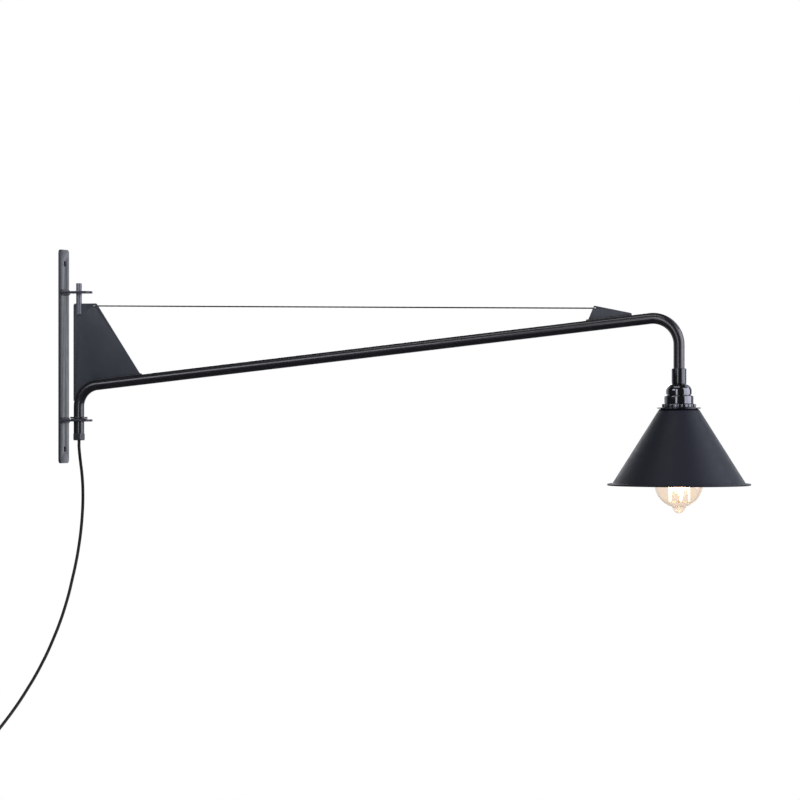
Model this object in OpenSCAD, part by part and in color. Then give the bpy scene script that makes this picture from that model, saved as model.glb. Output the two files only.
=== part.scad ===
// Swing arm wall lamp with a cone shade.
// X runs out from the wall along the arm, Z is up, and the origin is the centre of the wall plate's back face.

/* [Wall plate] */
// Width of the wall plate
plate_w = 30; // [28:1:45]
// Height of the wall plate
plate_h = 279; // [250:1:330]
// Thickness of the wall plate
plate_t = 3; // [2:0.5:4]
// Corner radius of the wall plate
plate_corner_r = 5; // [2:0.5:10]
// Diameter of each screw hole in the wall plate
screw_hole_d = 7; // [4:0.5:9]
// Distance between the two screw holes
screw_spacing = 242; // [210:1:244]

/* [Hinge lugs] */
// Distance from the wall to the swing axis
pivot_x = 23; // [21:0.5:40]
// Distance between the mid-planes of the two lugs
lug_spacing = 167; // [160:1:190]
// Thickness of each lug
lug_t = 3; // [2:0.5:5]
// Width of each lug
lug_w = 28; // [24:1:32]
// Reach of each lug past the swing axis
lug_overhang = 18; // [15:0.5:25]
// Leg of the weld bead between a lug and the plate
lug_weld = 2.4; // [1.5:0.1:3]
// Diameter of the upper hinge pin
pin_d = 7.5; // [5:0.5:9]
// Height of the pin's top above the mid-plane of the upper lug
pin_top = 12; // [6:0.5:20]
// Extra diameter of the pin's foot, where it is welded to the gusset
pin_foot_extra = 0.8; // [0.4:0.1:1.5]
// Length of the pin's foot
pin_foot_h = 14; // [10:0.5:18]
// Diameter of the collar that carries the arm on the lower lug
collar_d = 23; // [18:0.5:27]
// Height of that collar
collar_h = 2; // [1.5:0.5:5]
// Thickness of the washer between the collar and the lower lug
thrust_washer_t = 1; // [0.5:0.1:2]

/* [Arm tube] */
// Outer diameter of the arm tube
tube_d = 14; // [12:0.5:18]
// Wall of the arm tube
tube_wall = 1.2; // [0.8:0.1:2]
// Distance from the swing axis to the axis of the shade
arm_reach = 799; // [560:1:900]
// Rise of the arm above level, in degrees
arm_rise = 6.3; // [4:0.1:9]
// Depth of the arm's line below the plate's centre, at the swing axis
arm_drop = 40; // [36:0.5:44]
// Centre-line radius of the bend at the wall end
elbow_r = 28.5; // [24:0.5:34]
// Centre-line radius of the bend over the shade
tip_bend_r = 33; // [26:0.5:38]
// Length of tube below the arm's line, down to the cord gland
foot_drop = 60.5; // [55:0.5:80]
// Distance from the arm's line down to the top of the lampholder's sleeve
head_drop = 66; // [60:0.5:120]

/* [Gussets and stay wire] */
// Thickness of both gusset plates
gusset_t = 2; // [1.5:0.5:4]
// Height of the hinge gusset's top edge above the plate's centre
gusset_top = 69; // [62:0.5:72]
// Overhang of the hinge gusset behind the swing axis
gusset_back = 7.5; // [6.5:0.5:9]
// Length of the hinge gusset's top edge in front of the swing axis
gusset_front = 24.5; // [20:0.5:36]
// Length of the hinge gusset's foot along the arm
gusset_len = 90; // [75:1:140]
// Depth of the hinge gusset's back edge below the plate's centre
gusset_low = 58; // [52:0.5:62]
// Corner radius of the hinge gusset
gusset_corner_r = 3; // [2:0.5:4]
// Distance from the shade's axis back to the foot of the tip gusset
tip_gusset_back = 119; // [110:1:140]
// Distance from the shade's axis back to the peak of the tip gusset
tip_gusset_peak = 108; // [95:1:120]
// Height of that peak above the arm's line
tip_gusset_h = 24.5; // [20:0.5:40]
// Distance from the shade's axis back to the nose of the tip gusset
tip_gusset_nose = 60; // [52:1:80]
// Height of that nose above the arm's line
tip_gusset_nose_h = 9.5; // [9:0.5:12]
// Diameter of the stay wire
wire_d = 1.4; // [1:0.1:2]
// Diameter of the crimped bead at each end of the stay wire
wire_bead_d = 3.6; // [3.4:0.1:4.5]

/* [Cord gland] */
// Width of the gland across its flats
gland_flats = 14; // [13:0.5:17]
// Height of the gland below the tube
gland_h = 9; // [6:0.5:14]
// Depth of the gland's spigot inside the tube
gland_spigot = 10; // [6:0.5:16]
// Outer diameter of the rubber grommet in the gland
grommet_d = 9; // [7.5:0.5:10]
// Height of the grommet
grommet_h = 5; // [3:0.5:6]

/* [Lampholder] */
// Outer diameter of the sleeve that joins the tube to the lampholder
sleeve_d = 18.5; // [17:0.5:24]
// Height of the sleeve
sleeve_h = 19; // [16:0.5:30]
// Depth of the tube inside the sleeve
sleeve_grip = 12; // [8:0.5:13]
// Outer diameter of the domed cap
cap_d = 32.6; // [31:0.2:36]
// Height of the domed cap
cap_h = 13.2; // [11:0.2:18]
// Shoulder radius of the domed cap
cap_shoulder_r = 9; // [4:0.5:10]
// Height of the groove between the cap and the skirt
groove_h = 1; // [0.5:0.1:2]
// Outer diameter of the skirt below the cap
skirt_d = 37; // [36:0.5:44]
// Height of the skirt
skirt_h = 10.7; // [8:0.1:16]
// Shoulder radius of the skirt
skirt_shoulder_r = 2; // [1:0.5:3]
// Wall of the cap, the skirt and the threaded barrel
holder_wall = 1.2; // [0.8:0.1:1.6]
// Outer diameter of the threaded barrel that goes through the shade
barrel_d = 34.8; // [34:0.2:35.6]
// Length of the barrel below the skirt
barrel_h = 39.6; // [36:0.2:46]
// Outer diameter of the beaded shade ring
ring_d = 42.4; // [40:0.2:48]
// Height of the beaded shade ring
ring_h = 4.4; // [3:0.2:8]
// Number of beads round the shade ring
ring_beads = 26; // [16:1:30]
// Outer diameter of the washer on top of the shade
washer_d = 54.6; // [46:0.2:60]
// Thickness of the washer on top of the shade
washer_t = 1.5; // [1:0.1:2.5]
// Outer diameter of the retaining ring inside the shade
retainer_d = 42; // [40:0.5:46]
// Height of the retaining ring
retainer_h = 5; // [3:0.5:8]

/* [Shade] */
// Diameter of the shade at its rim
rim_d = 177.8; // [170:0.2:230]
// Diameter of the cone where it meets the brim
cone_d = 166; // [150:0.5:168]
// Diameter of the shade's flat top
shade_top_d = 46.4; // [46:0.2:60]
// Height of the cone, from the flat top to the brim
cone_h = 93.5; // [85:0.5:100]
// Wall of the shade
shade_wall = 1; // [0.6:0.1:1.6]
// Radius of the bend between the cone and the brim
brim_bend_r = 3; // [1:0.5:4]
// Diameter of the rolled bead round the rim
rim_bead_d = 2.4; // [2:0.1:3.6]

/* [Bulb] */
// Diameter of the glass globe
globe_d = 60; // [56:0.5:64]
// Overall length of the bulb with its tip
bulb_len = 118.5; // [116:0.5:124]
// Length of the drawn tip below the globe
tip_len = 6.6; // [4:0.2:9]
// Diameter of the drawn tip
tip_d = 17; // [8:0.5:20]
// Thickness of the glass
glass_t = 0.8; // [0.6:0.1:1.2]
// Diameter over the thread of the bulb's cap
thread_d = 26; // [25.6:0.1:26.2]
// Pitch of that thread
thread_pitch = 3.63; // [3.4:0.01:3.8]
// Radius of the filament cage
cage_r = 13.4; // [10:0.2:15]
// Height of the filament cage
cage_h = 44; // [36:1:48]
// Number of strands in the filament cage
cage_strands = 10; // [6:2:14]

/* [Cord and plug] */
// Diameter of the cord
cord_d = 4; // [3.4:0.1:4.6]
// Width of the plug across its blades
plug_w = 25; // [22:0.5:30]
// Thickness of the plug
plug_t = 15; // [12:0.5:18]
// Length of the plug's body
plug_len = 24; // [20:0.5:34]
// Length of the strain relief on the plug
relief_len = 22; // [20:0.5:30]
// Distance between the mid-planes of the blades
blade_spacing = 12.7; // [12.6:0.1:12.8]
// Width of a blade
blade_w = 6.3; // [6.2:0.1:6.4]
// Thickness of a blade
blade_t = 1.5; // [1.4:0.1:1.6]
// Length of a blade outside the plug
blade_len = 17; // [15:0.5:18]

/* [Hidden] */
$fn = 72;

// Clearances shared by the whole lamp
run_fit = 0.05;     // radial, a shaft that turns in a bore
slip_fit = 0.05;    // radial, a piece pushed or screwed into another
seat_gap = 0.3;     // between a piece that moves and the seat it rests over
cut_over = 1;       // overrun of a cut past the face it opens
edge_bevel = 0.6;   // bevel on turned edges
hair = 0.02;            // hairline play round a bend, and hairline step at a knuckle
butt = 0.01;            // hairline butt joint between the arm's run and its bends
butt_key = 0.4;         // reach of the key across a butt joint, each way

// Heights of the hinge
upper_lug_z = lug_spacing / 2;
lower_lug_z = -lug_spacing / 2;
lug_top_z = lower_lug_z + lug_t / 2;
collar_z = lug_top_z + thrust_washer_t + seat_gap;
pin_r = pin_d / 2;
pin_foot_r = pin_r + pin_foot_extra / 2;
pin_foot_z = gusset_top - pin_foot_h;

// Centre line of the arm in the XZ plane
tube_r = tube_d / 2;
bore_r = tube_r - tube_wall;
tip_x = pivot_x + arm_reach;
function arm_z(x) = -arm_drop + (x - pivot_x) * tan(arm_rise);
elbow_cut = elbow_r * tan((90 - arm_rise) / 2);
tip_cut = tip_bend_r * tan((90 + arm_rise) / 2);
run_len = arm_reach / cos(arm_rise) - elbow_cut - tip_cut;
run_start = [pivot_x + elbow_cut * cos(arm_rise), -arm_drop + elbow_cut * sin(arm_rise)];
foot_z = -arm_drop - foot_drop;
gland_z = foot_z - gland_h;
elbow_end_z = -arm_drop - elbow_cut;
tip_start_z = arm_z(tip_x) - tip_cut;

// Gussets
slot_gap = 0.05;                // fit of the slot beside and below the pin's foot
wire_hole_r = wire_d * 0.95;
gusset_tip_x = pivot_x + gusset_len;
hole_inset = gusset_corner_r / 2 + wire_bead_d / 2;
hinge_hole = [pivot_x + gusset_front - hole_inset * 0.9, gusset_top - hole_inset];
tip_peak = [tip_x - tip_gusset_peak, arm_z(tip_x - tip_gusset_peak) + tip_gusset_h];
tip_hole = tip_peak + [wire_bead_d * 0.3, -wire_bead_d * 0.9];
tip_corner_r = 1.2;
tip_nose_r = 2;
wire_bend_r = wire_d * 1.15;
wire_y = gusset_t / 2 + seat_gap + wire_d / 2;
gusset_weld_r = 1.5;

// Stack of the lampholder and the shade, from the sleeve down
sleeve_top = arm_z(tip_x) - head_drop;
sleeve_bottom = sleeve_top - sleeve_h;
tube_end_z = sleeve_top - sleeve_grip;
cap_bottom = sleeve_bottom - cap_h;
skirt_top = cap_bottom - groove_h;
skirt_bottom = skirt_top - skirt_h;
ring_bottom = skirt_bottom - ring_h;
shade_top = ring_bottom - washer_t;
shade_under = shade_top - shade_wall;
barrel_end = skirt_bottom - barrel_h;
barrel_r = barrel_d / 2;
cap_bore_r = cap_d / 2 - holder_wall;
barrel_bore_r = barrel_r - holder_wall;

bend_parts = 6;                 // flats that make up each bend of the shade

// Inside the lampholder
nipple_r = 5;
nipple_bore_r = 3.4;
nipple_nut = 2;                 // length of the nipple past the cap's top plate
neck_h = 6;                     // part of the body that screws up into the cap
neck_wall = 1;
insulator_top = skirt_top - 3;
web_h = 19;                     // solid top of the insulator
web_bottom = insulator_top - web_h;
insulator_wall = 1.2;
terminal_x = 8;
terminal_r = 2.8;
terminal_h = 1.8;
terminal_shank_r = 1.4;
terminal_shank = 8;
core_r = 0.8;
cable_end_z = skirt_top + neck_h + nipple_nut;
shell_t = 0.4;
shell_crest_r = 0.45;
shell_r = thread_d / 2 + seat_gap;
tongue_w = 6;
tongue_t = 0.4;

// Bulb, measured from its contact down
bulb_top = web_bottom - 6;
contact_h = 1.5;
contact_r = 4.6;
bulb_insulator_h = 4.5;
thread_top = bulb_top - contact_h - bulb_insulator_h;
cap_len = 22;
thread_root_r = thread_d / 2 - 0.6;
crest_r = thread_d / 2 - thread_root_r;
bulb_cap_wall = 0.4;
cap_low = thread_top - cap_len;
neck_r = thread_root_r - bulb_cap_wall - slip_fit;
neck_insert = 8;
shoulder_bite = 0.3;            // depth to which the hollow shoulder runs into the globe
shoulder_parts = 12;
globe_r = globe_d / 2;
globe_z = bulb_top - bulb_len + tip_len + globe_r;
neck_fillet_r = globe_r * 1.5;
neck_fillet_z = globe_z + sqrt(pow(globe_r + neck_fillet_r, 2) - pow(neck_r + neck_fillet_r, 2)) - shoulder_bite;
stem_top = cap_low + neck_insert - 2;
stem_r = 3.2;
stem_len = 26;
stem_end = stem_top - stem_len;
support_r = 0.35;
cage_bead_r = 1.8;
cage_bead_h = 1.4;
filament_r = 0.3;
cage_bottom = globe_z - globe_r * 0.74;
cage_top = cage_bottom + cage_h;

// Route of the cord. It leaves the gland on the swing axis and drifts to the wall, where it lies at wall_gap
wall_gap = cord_d / 2 + 1.5;
cord_route = [
    [23, 0, -113], [23, 0, -118], [22.9, 2.5, -128], [22.5, 7, -140], [22, 12, -152], [21.3, 16.5, -166],
    [20.5, 19.5, -182], [19.5, 21, -198], [18.3, 21.3, -214], [17, 20.5, -230], [15.5, 18.5, -246],
    [14, 15.3, -262], [12.5, 11, -277], [11, 5.5, -292], [9.7, -1, -307.5], [8.4, -9.3, -322.8],
    [7.2, -19.3, -338], [6.1, -31.4, -353], [5.2, -45.5, -367.5], [4.5, -61.3, -382], [4, -79.5, -396],
    [3.6, -99.8, -410], [3.5, -122.5, -423.3], [3.5, -146.7, -436.5], [3.5, -173.2, -449.5],
    [3.5, -201.4, -462], [3.5, -231, -474], [3.5, -262, -485]
];
cord_step = 9;                  // distance between the rings of the cord
cord_sides = 8;

// Coil of the spare cord: flat on the wall, wound in and out in four layers
coil_y = -290;
coil_z = -522;
coil_in_r = 17;
coil_pitch = 5.2;
coil_layer_turns = [2, 2, 2, 1.7];
coil_turn_in = 0.5;             // turns in which it climbs from one layer to the next
coil_start = 107;               // degrees
coil_rings = 24;                // rings in one loop
coil_sides = 6;
coil_out_r = coil_in_r + coil_pitch * coil_layer_turns[0];
coil_layers = len(coil_layer_turns);

tie_w = 5;
tie_t = 1;
tie_gap = 0.2;

tail_route = [[19, -316, -533], [17.5, -316, -541], [14, -316, -551], [11, -316, -562]];
plug_x = 9.5;
plug_y = -316;
plug_z = -574;                  // top of the strain relief
relief_top_r = cord_d / 2 + 0.9;
relief_low_r = 5;
relief_ribs = 5;
relief_rib_share = 0.45;        // of the rib pitch that the groove takes
relief_groove = 0.6;
plug_corner_r = 3;
plug_shoulder_share = 0.3;      // of the plug's length that slopes in towards the cord
plug_neck_w = 13;
plug_neck_t = 11;
blade_root = 3;

// Unit vector along v
function unit(v) = v / norm(v);

// Corner of an outline: the two points where an arc of radius r touches, and the arc's centre
function corner_angle(a, p, b) = acos(unit(a - p) * unit(b - p));
function corner_points(a, p, b, r) = r == 0
    ? [p]
    : let (t = r / tan(corner_angle(a, p, b) / 2)) [p + unit(a - p) * t, p + unit(b - p) * t];
function corner_centre(a, p, b, r) =
    p + unit(unit(a - p) + unit(b - p)) * r / sin(corner_angle(a, p, b) / 2);

// Convex outline with an arc at each corner
module rounded(points, radii) {
    n = len(points);
    polygon([
        for (i = [0:n - 1])
            each corner_points(points[(i + n - 1) % n], points[i], points[(i + 1) % n], radii[i])
    ]);
    for (i = [0:n - 1])
        if (radii[i] > 0)
            translate(corner_centre(points[(i + n - 1) % n], points[i], points[(i + 1) % n], radii[i]))
                circle(r = radii[i]);
}

// Rectangle between two opposite corners
module square_between(low, high) {
    polygon([low, [high[0], low[1]], high, [low[0], high[1]]]);
}

// Rectangle about the origin with rounded corners
module rounded_rect(w, h, r) {
    rounded([[-w / 2, -h / 2], [w / 2, -h / 2], [w / 2, h / 2], [-w / 2, h / 2]], [r, r, r, r]);
}

// Turns an outline drawn in the XZ plane into a plate of thickness t about Y = 0
module plate_xz(t) {
    rotate([90, 0, 0]) linear_extrude(height = t, center = true) children();
}

// Straight round bar from a to b
module rod(a, b, r) {
    d = b - a;
    translate(a) rotate([0, acos(d[2] / norm(d)), atan2(d[1], d[0])]) cylinder(h = norm(d), r = r);
}

// Round ring with an upright axis
module washer(z, h, inner_r, outer_r) {
    translate([0, 0, z]) difference() {
        cylinder(h = h, r = outer_r);
        translate([0, 0, -cut_over]) cylinder(h = h + 2 * cut_over, r = inner_r);
    }
}

// Bent round bar in the XZ plane about centre, from angle from over angle sweep
module bend(centre, bend_r, r, from, sweep) {
    translate([centre[0], 0, centre[1]]) rotate([90, 0, 0])
        rotate_extrude(angle = sweep, start = from) translate([bend_r, 0]) circle(r = r);
}

// Moves children onto the arm's run, "along" past its start
module on_run(along) {
    translate([run_start[0], 0, run_start[1]]) rotate([0, 90 - arm_rise, 0]) translate([0, 0, along]) children();
}

// Bar of radius r along the arm's centre line, from height low at the wall end to height end over the shade.
// The run is shorter by short at each end, and the bends are fatter by fat
module arm_path(r, low, end, short, fat) {
    translate([pivot_x, 0, low]) cylinder(h = elbow_end_z - low, r = r);
    bend([pivot_x + elbow_r, elbow_end_z], elbow_r, r + fat, 180, arm_rise - 90);
    on_run(short) cylinder(h = run_len - 2 * short, r = r);
    bend([tip_x - tip_bend_r, tip_start_z], tip_bend_r, r + fat, 0, 90 + arm_rise);
    translate([tip_x, 0, end]) cylinder(h = tip_start_z - end, r = r);
}

// Room for the tube, cut out of what sits against it
module arm_room() {
    arm_path(tube_r, foot_z, tip_start_z - cut_over, -butt_key, hair);
}

// Places a piece turned about the shade's axis
module at_shade() {
    translate([tip_x, 0, 0]) children();
}

// Solid turned from an outline drawn with X as its radius and Y as its height
module turned() {
    rotate_extrude() children();
}

// Wall bracket

module wall_plate() {
    color([0.36, 0.37, 0.42]) difference() {
        rotate([90, 0, 90]) linear_extrude(height = plate_t) rounded_rect(plate_w, plate_h, plate_corner_r);
        for (z = [-screw_spacing / 2, screw_spacing / 2])
            translate([-cut_over, 0, z]) rotate([0, 90, 0])
                cylinder(h = plate_t + 2 * cut_over, d = screw_hole_d);
    }
}

// Lug on the plate with a round end and an upright bore
module lug(z, hole_r) {
    end_x = pivot_x + lug_overhang - lug_w / 2;
    translate([0, 0, z - lug_t / 2]) difference() {
        linear_extrude(height = lug_t) {
            translate([plate_t, -lug_w / 2]) square([end_x - plate_t, lug_w]);
            translate([end_x, 0]) circle(d = lug_w);
        }
        translate([pivot_x, 0, -cut_over]) cylinder(h = lug_t + 2 * cut_over, r = hole_r);
    }
}

module upper_lug() {
    color([0.3, 0.31, 0.36]) lug(upper_lug_z, pin_r + run_fit);
}

module lower_lug() {
    color([0.3, 0.31, 0.36]) lug(lower_lug_z, tube_r + run_fit);
}

// Convex weld bead above or below a lug, along the plate
module lug_bead(z, up) {
    translate([plate_t, 0, z]) mirror([0, 0, up ? 0 : 1]) rotate([90, 0, 0])
        linear_extrude(height = lug_w, center = true) intersection() {
            circle(r = lug_weld);
            square([lug_weld, lug_weld]);
        }
}

module lug_welds() {
    color([0.26, 0.27, 0.31]) for (z = [upper_lug_z, lower_lug_z]) {
        lug_bead(z + lug_t / 2, true);
        lug_bead(z - lug_t / 2, false);
    }
}

module thrust_washer() {
    color([0.08, 0.08, 0.08]) translate([pivot_x, 0, 0])
        washer(lug_top_z, thrust_washer_t, tube_r + seat_gap, collar_d / 2 - edge_bevel);
}

// Swing arm

module arm_tube() {
    mid_r = (tube_r + bore_r) / 2;
    color([0.13, 0.14, 0.17]) {
        difference() {
            arm_path(tube_r, foot_z, tube_end_z, butt, 0);
            arm_path(bore_r, foot_z - cut_over, tube_end_z - cut_over, butt, 0);
        }
        for (along = [0, run_len])
            on_run(along) washer(-butt_key, 2 * butt_key, mid_r - tube_wall / 4, mid_r + tube_wall / 4);
    }
}

module stop_collar() {
    color([0.3, 0.31, 0.36]) translate([pivot_x, 0, 0])
        washer(collar_z, collar_h, tube_r + slip_fit, collar_d / 2);
}

module hinge_gusset() {
    mid_turn = 180 - asin((-gusset_low - elbow_end_z) / elbow_r);
    mid_elbow = [pivot_x + elbow_r, elbow_end_z] + elbow_r * [cos(mid_turn), sin(mid_turn)];
    color([0.22, 0.23, 0.27]) difference() {
        plate_xz(gusset_t) {
            rounded(
                [
                    [pivot_x - gusset_back, gusset_top], [pivot_x - gusset_back, mid_elbow[1]],
                    mid_elbow, run_start, [gusset_tip_x, arm_z(gusset_tip_x)],
                    [pivot_x + gusset_front, gusset_top]
                ],
                [gusset_corner_r, 0, 0, 0, 0, gusset_corner_r]
            );
        }
        arm_room();
        translate([pivot_x - pin_foot_r - slot_gap, -gusset_t, pin_foot_z - slot_gap])
            cube([
                2 * pin_foot_r + slot_gap + slip_fit, 2 * gusset_t,
                gusset_top - pin_foot_z + slot_gap + cut_over
            ]);
        translate([hinge_hole[0], 0, hinge_hole[1]]) rotate([90, 0, 0])
            cylinder(h = 2 * gusset_t, r = wire_hole_r, center = true);
    }
}

module pivot_pin() {
    top = upper_lug_z + pin_top;
    color([0.32, 0.33, 0.38]) translate([pivot_x, 0, 0]) turned() polygon([
        [0, pin_foot_z], [pin_foot_r, pin_foot_z], [pin_foot_r, gusset_top],
        [pin_r, gusset_top + pin_foot_r - pin_r], [pin_r, top - edge_bevel], [pin_r - edge_bevel, top], [0, top]
    ]);
}

module tip_gusset() {
    foot_x = tip_x - tip_gusset_back;
    nose_x = tip_x - tip_gusset_nose;
    color([0.22, 0.23, 0.27]) difference() {
        plate_xz(gusset_t) rounded(
            [
                tip_peak, [foot_x, arm_z(foot_x)], [nose_x, arm_z(nose_x)],
                [nose_x, arm_z(nose_x) + tip_gusset_nose_h]
            ],
            [tip_corner_r, 0, 0, tip_nose_r]
        );
        arm_room();
        translate([tip_hole[0], 0, tip_hole[1]]) rotate([90, 0, 0])
            cylinder(h = 2 * gusset_t, r = wire_hole_r, center = true);
    }
}

// Weld beads along the arm, on both sides of each gusset
module gusset_welds() {
    spans = [
        [pivot_x + elbow_cut + gusset_weld_r, gusset_tip_x - gusset_weld_r],
        [tip_x - tip_gusset_back + gusset_weld_r, tip_x - tip_gusset_nose - gusset_weld_r]
    ];
    rise = sqrt(pow(tube_r, 2) - pow(gusset_t / 2, 2));
    lift = rise * [-sin(arm_rise), 0, cos(arm_rise)];
    color([0.17, 0.18, 0.21]) difference() {
        for (s = spans, side = [-1, 1])
            rod(
                [s[0], side * gusset_t / 2, arm_z(s[0])] + lift,
                [s[1], side * gusset_t / 2, arm_z(s[1])] + lift,
                gusset_weld_r
            );
        arm_room();
        for (s = spans)
            translate([s[0] - elbow_cut, -gusset_t / 2, arm_z(s[0]) - gusset_t])
                cube([s[1] - s[0] + 2 * elbow_cut, gusset_t, arm_z(s[1]) - arm_z(s[0]) + 2 * tube_d]);
    }
}

// One end of the stay wire: a bend out of the run at wire_y and a short leg through the hole along Y
module wire_end(hole, dir, leg) {
    translate([hole[0], wire_y - wire_bend_r, hole[1]]) mirror([dir > 0 ? 0 : 1, 0, 0]) {
        translate([wire_bend_r, 0, 0]) rotate([0, 0, 90])
            rotate_extrude(angle = 90) translate([wire_bend_r, 0]) circle(d = wire_d);
        rotate([90, 0, 0]) cylinder(h = leg, d = wire_d);
    }
}

module stay_wire() {
    bead_y = gusset_t / 2 + slip_fit;
    leg = wire_y - wire_bend_r + bead_y;
    low_end = [hinge_hole[0] + wire_bend_r, wire_y, hinge_hole[1]];
    far_end = [tip_hole[0] - wire_bend_r, wire_y, tip_hole[1]];
    color([0.55, 0.55, 0.55]) {
        rod(low_end, far_end, wire_d / 2);
        translate(low_end) sphere(r = wire_d / 2 + hair);
        translate(far_end) sphere(r = wire_d / 2 + hair);
        wire_end(hinge_hole, 1, leg);
        wire_end(tip_hole, -1, leg);
    }
}

// Bead crimped on each end of the wire, in front of the gusset
module wire_beads() {
    color([0.75, 0.75, 0.76]) for (h = [hinge_hole, tip_hole])
        translate([h[0], -gusset_t / 2 - slip_fit, h[1]]) rotate([90, 0, 0]) intersection() {
            sphere(d = wire_bead_d);
            cylinder(h = wire_bead_d, d = wire_bead_d);
        }
}

module cord_gland() {
    color([0.1, 0.1, 0.11]) translate([pivot_x, 0, 0]) difference() {
        union() {
            translate([0, 0, gland_z]) intersection() {
                cylinder(h = gland_h, d = gland_flats / cos(30), $fn = 6);
                turned() polygon([
                    [0, 0], [gland_flats / 2, 0], [gland_flats / 2 / cos(30), edge_bevel * 2],
                    [gland_flats / 2 / cos(30), gland_h], [0, gland_h]
                ]);
            }
            translate([0, 0, foot_z]) cylinder(h = gland_spigot, r = bore_r - slip_fit);
        }
        translate([0, 0, gland_z - cut_over])
            cylinder(h = gland_h + gland_spigot + 2 * cut_over, r = cord_d / 2 + seat_gap);
        translate([0, 0, gland_z - cut_over]) cylinder(h = grommet_h + cut_over, d = grommet_d);
    }
}

module gland_grommet() {
    color([0.05, 0.05, 0.05]) translate([pivot_x, 0, 0])
        washer(gland_z, grommet_h, cord_d / 2 + slip_fit, grommet_d / 2 - slip_fit);
}

// Cable through the tube, from the gland to the lampholder
module arm_cable() {
    color([0.07, 0.07, 0.07]) {
        arm_path(cord_d / 2, gland_z, cable_end_z, butt, 0);
        for (along = [0, run_len]) on_run(along - butt_key) cylinder(h = 2 * butt_key, r = cord_d / 4);
    }
}

// Lampholder

module holder_sleeve() {
    r = sleeve_d / 2;
    color([0.12, 0.12, 0.15]) at_shade() difference() {
        turned() polygon([
            [0, sleeve_bottom], [r, sleeve_bottom], [r, sleeve_top - edge_bevel],
            [r - edge_bevel, sleeve_top], [0, sleeve_top]
        ]);
        translate([0, 0, tube_end_z]) cylinder(h = sleeve_grip + cut_over, r = tube_r + slip_fit);
        translate([0, 0, sleeve_bottom - cut_over]) cylinder(h = sleeve_h, r = nipple_r + slip_fit);
        translate([0, 0, sleeve_top - sleeve_grip / 2]) rotate([-90, 0, 0])
            cylinder(h = sleeve_d, r = terminal_shank_r + slip_fit);
    }
}

// Grub screw that holds the sleeve on the tube, at the far side
module sleeve_screw() {
    color([0.2, 0.2, 0.22]) at_shade() translate([0, tube_r + 2 * slip_fit, sleeve_top - sleeve_grip / 2])
        rotate([-90, 0, 0]) cylinder(h = sleeve_d / 2 - tube_r - 3 * slip_fit, r = terminal_shank_r);
}

module threaded_nipple() {
    top = tube_end_z - slip_fit;
    low = sleeve_bottom - holder_wall - nipple_nut;
    color([0.7, 0.68, 0.6]) at_shade() washer(low, top - low, nipple_bore_r, nipple_r);
}

module holder_cap() {
    r = cap_d / 2;
    color([0.1, 0.1, 0.13]) at_shade() turned() difference() {
        intersection() {
            rounded([[0, cap_bottom], [r, cap_bottom], [r, sleeve_bottom], [0, sleeve_bottom]],
                [0, 0, cap_shoulder_r, 0]);
            square_between([nipple_r + slip_fit, cap_bottom - cut_over], [r + cut_over, sleeve_bottom + cut_over]);
        }
        rounded(
            [
                [0, cap_bottom - cut_over], [cap_bore_r, cap_bottom - cut_over],
                [cap_bore_r, sleeve_bottom - holder_wall], [0, sleeve_bottom - holder_wall]
            ],
            [0, 0, cap_shoulder_r - holder_wall, 0]
        );
    }
}

// Body of the lampholder: a neck inside the cap, the skirt, and the barrel that goes through the shade
module holder_body() {
    neck_out = cap_bore_r - slip_fit;
    color([0.1, 0.1, 0.13]) at_shade() turned() difference() {
        union() {
            square_between([0, skirt_bottom], [neck_out, skirt_top + neck_h]);
            rounded(
                [[0, skirt_bottom], [skirt_d / 2, skirt_bottom], [skirt_d / 2, skirt_top], [0, skirt_top]],
                [0, 0, skirt_shoulder_r, 0]
            );
            square_between([0, barrel_end], [barrel_r, skirt_bottom + skirt_h / 2]);
        }
        square_between([-cut_over, barrel_end - cut_over], [barrel_bore_r, insulator_top + slip_fit]);
        square_between([-cut_over, barrel_end - cut_over], [neck_out - neck_wall, skirt_top + neck_h + cut_over]);
    }
}

// Ring on the barrel above the shade, with beads round its edge
module shade_ring() {
    bead_r = PI * ring_d / ring_beads / 4;
    core = ring_d / 2 - bead_r;
    color([0.12, 0.12, 0.15]) at_shade() translate([0, 0, ring_bottom]) difference() {
        linear_extrude(height = ring_h) union() {
            circle(r = core);
            for (i = [0:ring_beads - 1])
                rotate(i * 360 / ring_beads) translate([core, 0]) circle(r = bead_r);
        }
        translate([0, 0, -cut_over]) cylinder(h = ring_h + 2 * cut_over, r = barrel_r + slip_fit);
    }
}

module shade_washer() {
    color([0.3, 0.31, 0.34]) at_shade() washer(shade_top, washer_t, barrel_r + slip_fit, washer_d / 2);
}

// Retaining ring under the shade's top, notched for a spanner
module retaining_ring() {
    notch = retainer_h / 2;
    color([0.12, 0.12, 0.15]) at_shade() difference() {
        washer(shade_under - retainer_h, retainer_h, barrel_r + slip_fit, retainer_d / 2);
        for (i = [0:3]) rotate([0, 0, i * 90 + 45])
            translate([retainer_d / 2 - notch / 2, -notch, shade_under - retainer_h - cut_over])
                cube([notch, 2 * notch, notch + cut_over]);
    }
}

// Points on an arc about centre
function arc_points(centre, r, from, to, parts) =
    [for (i = [0:parts]) centre + r * [cos(from + (to - from) * i / parts), sin(from + (to - from) * i / parts)]];

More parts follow.
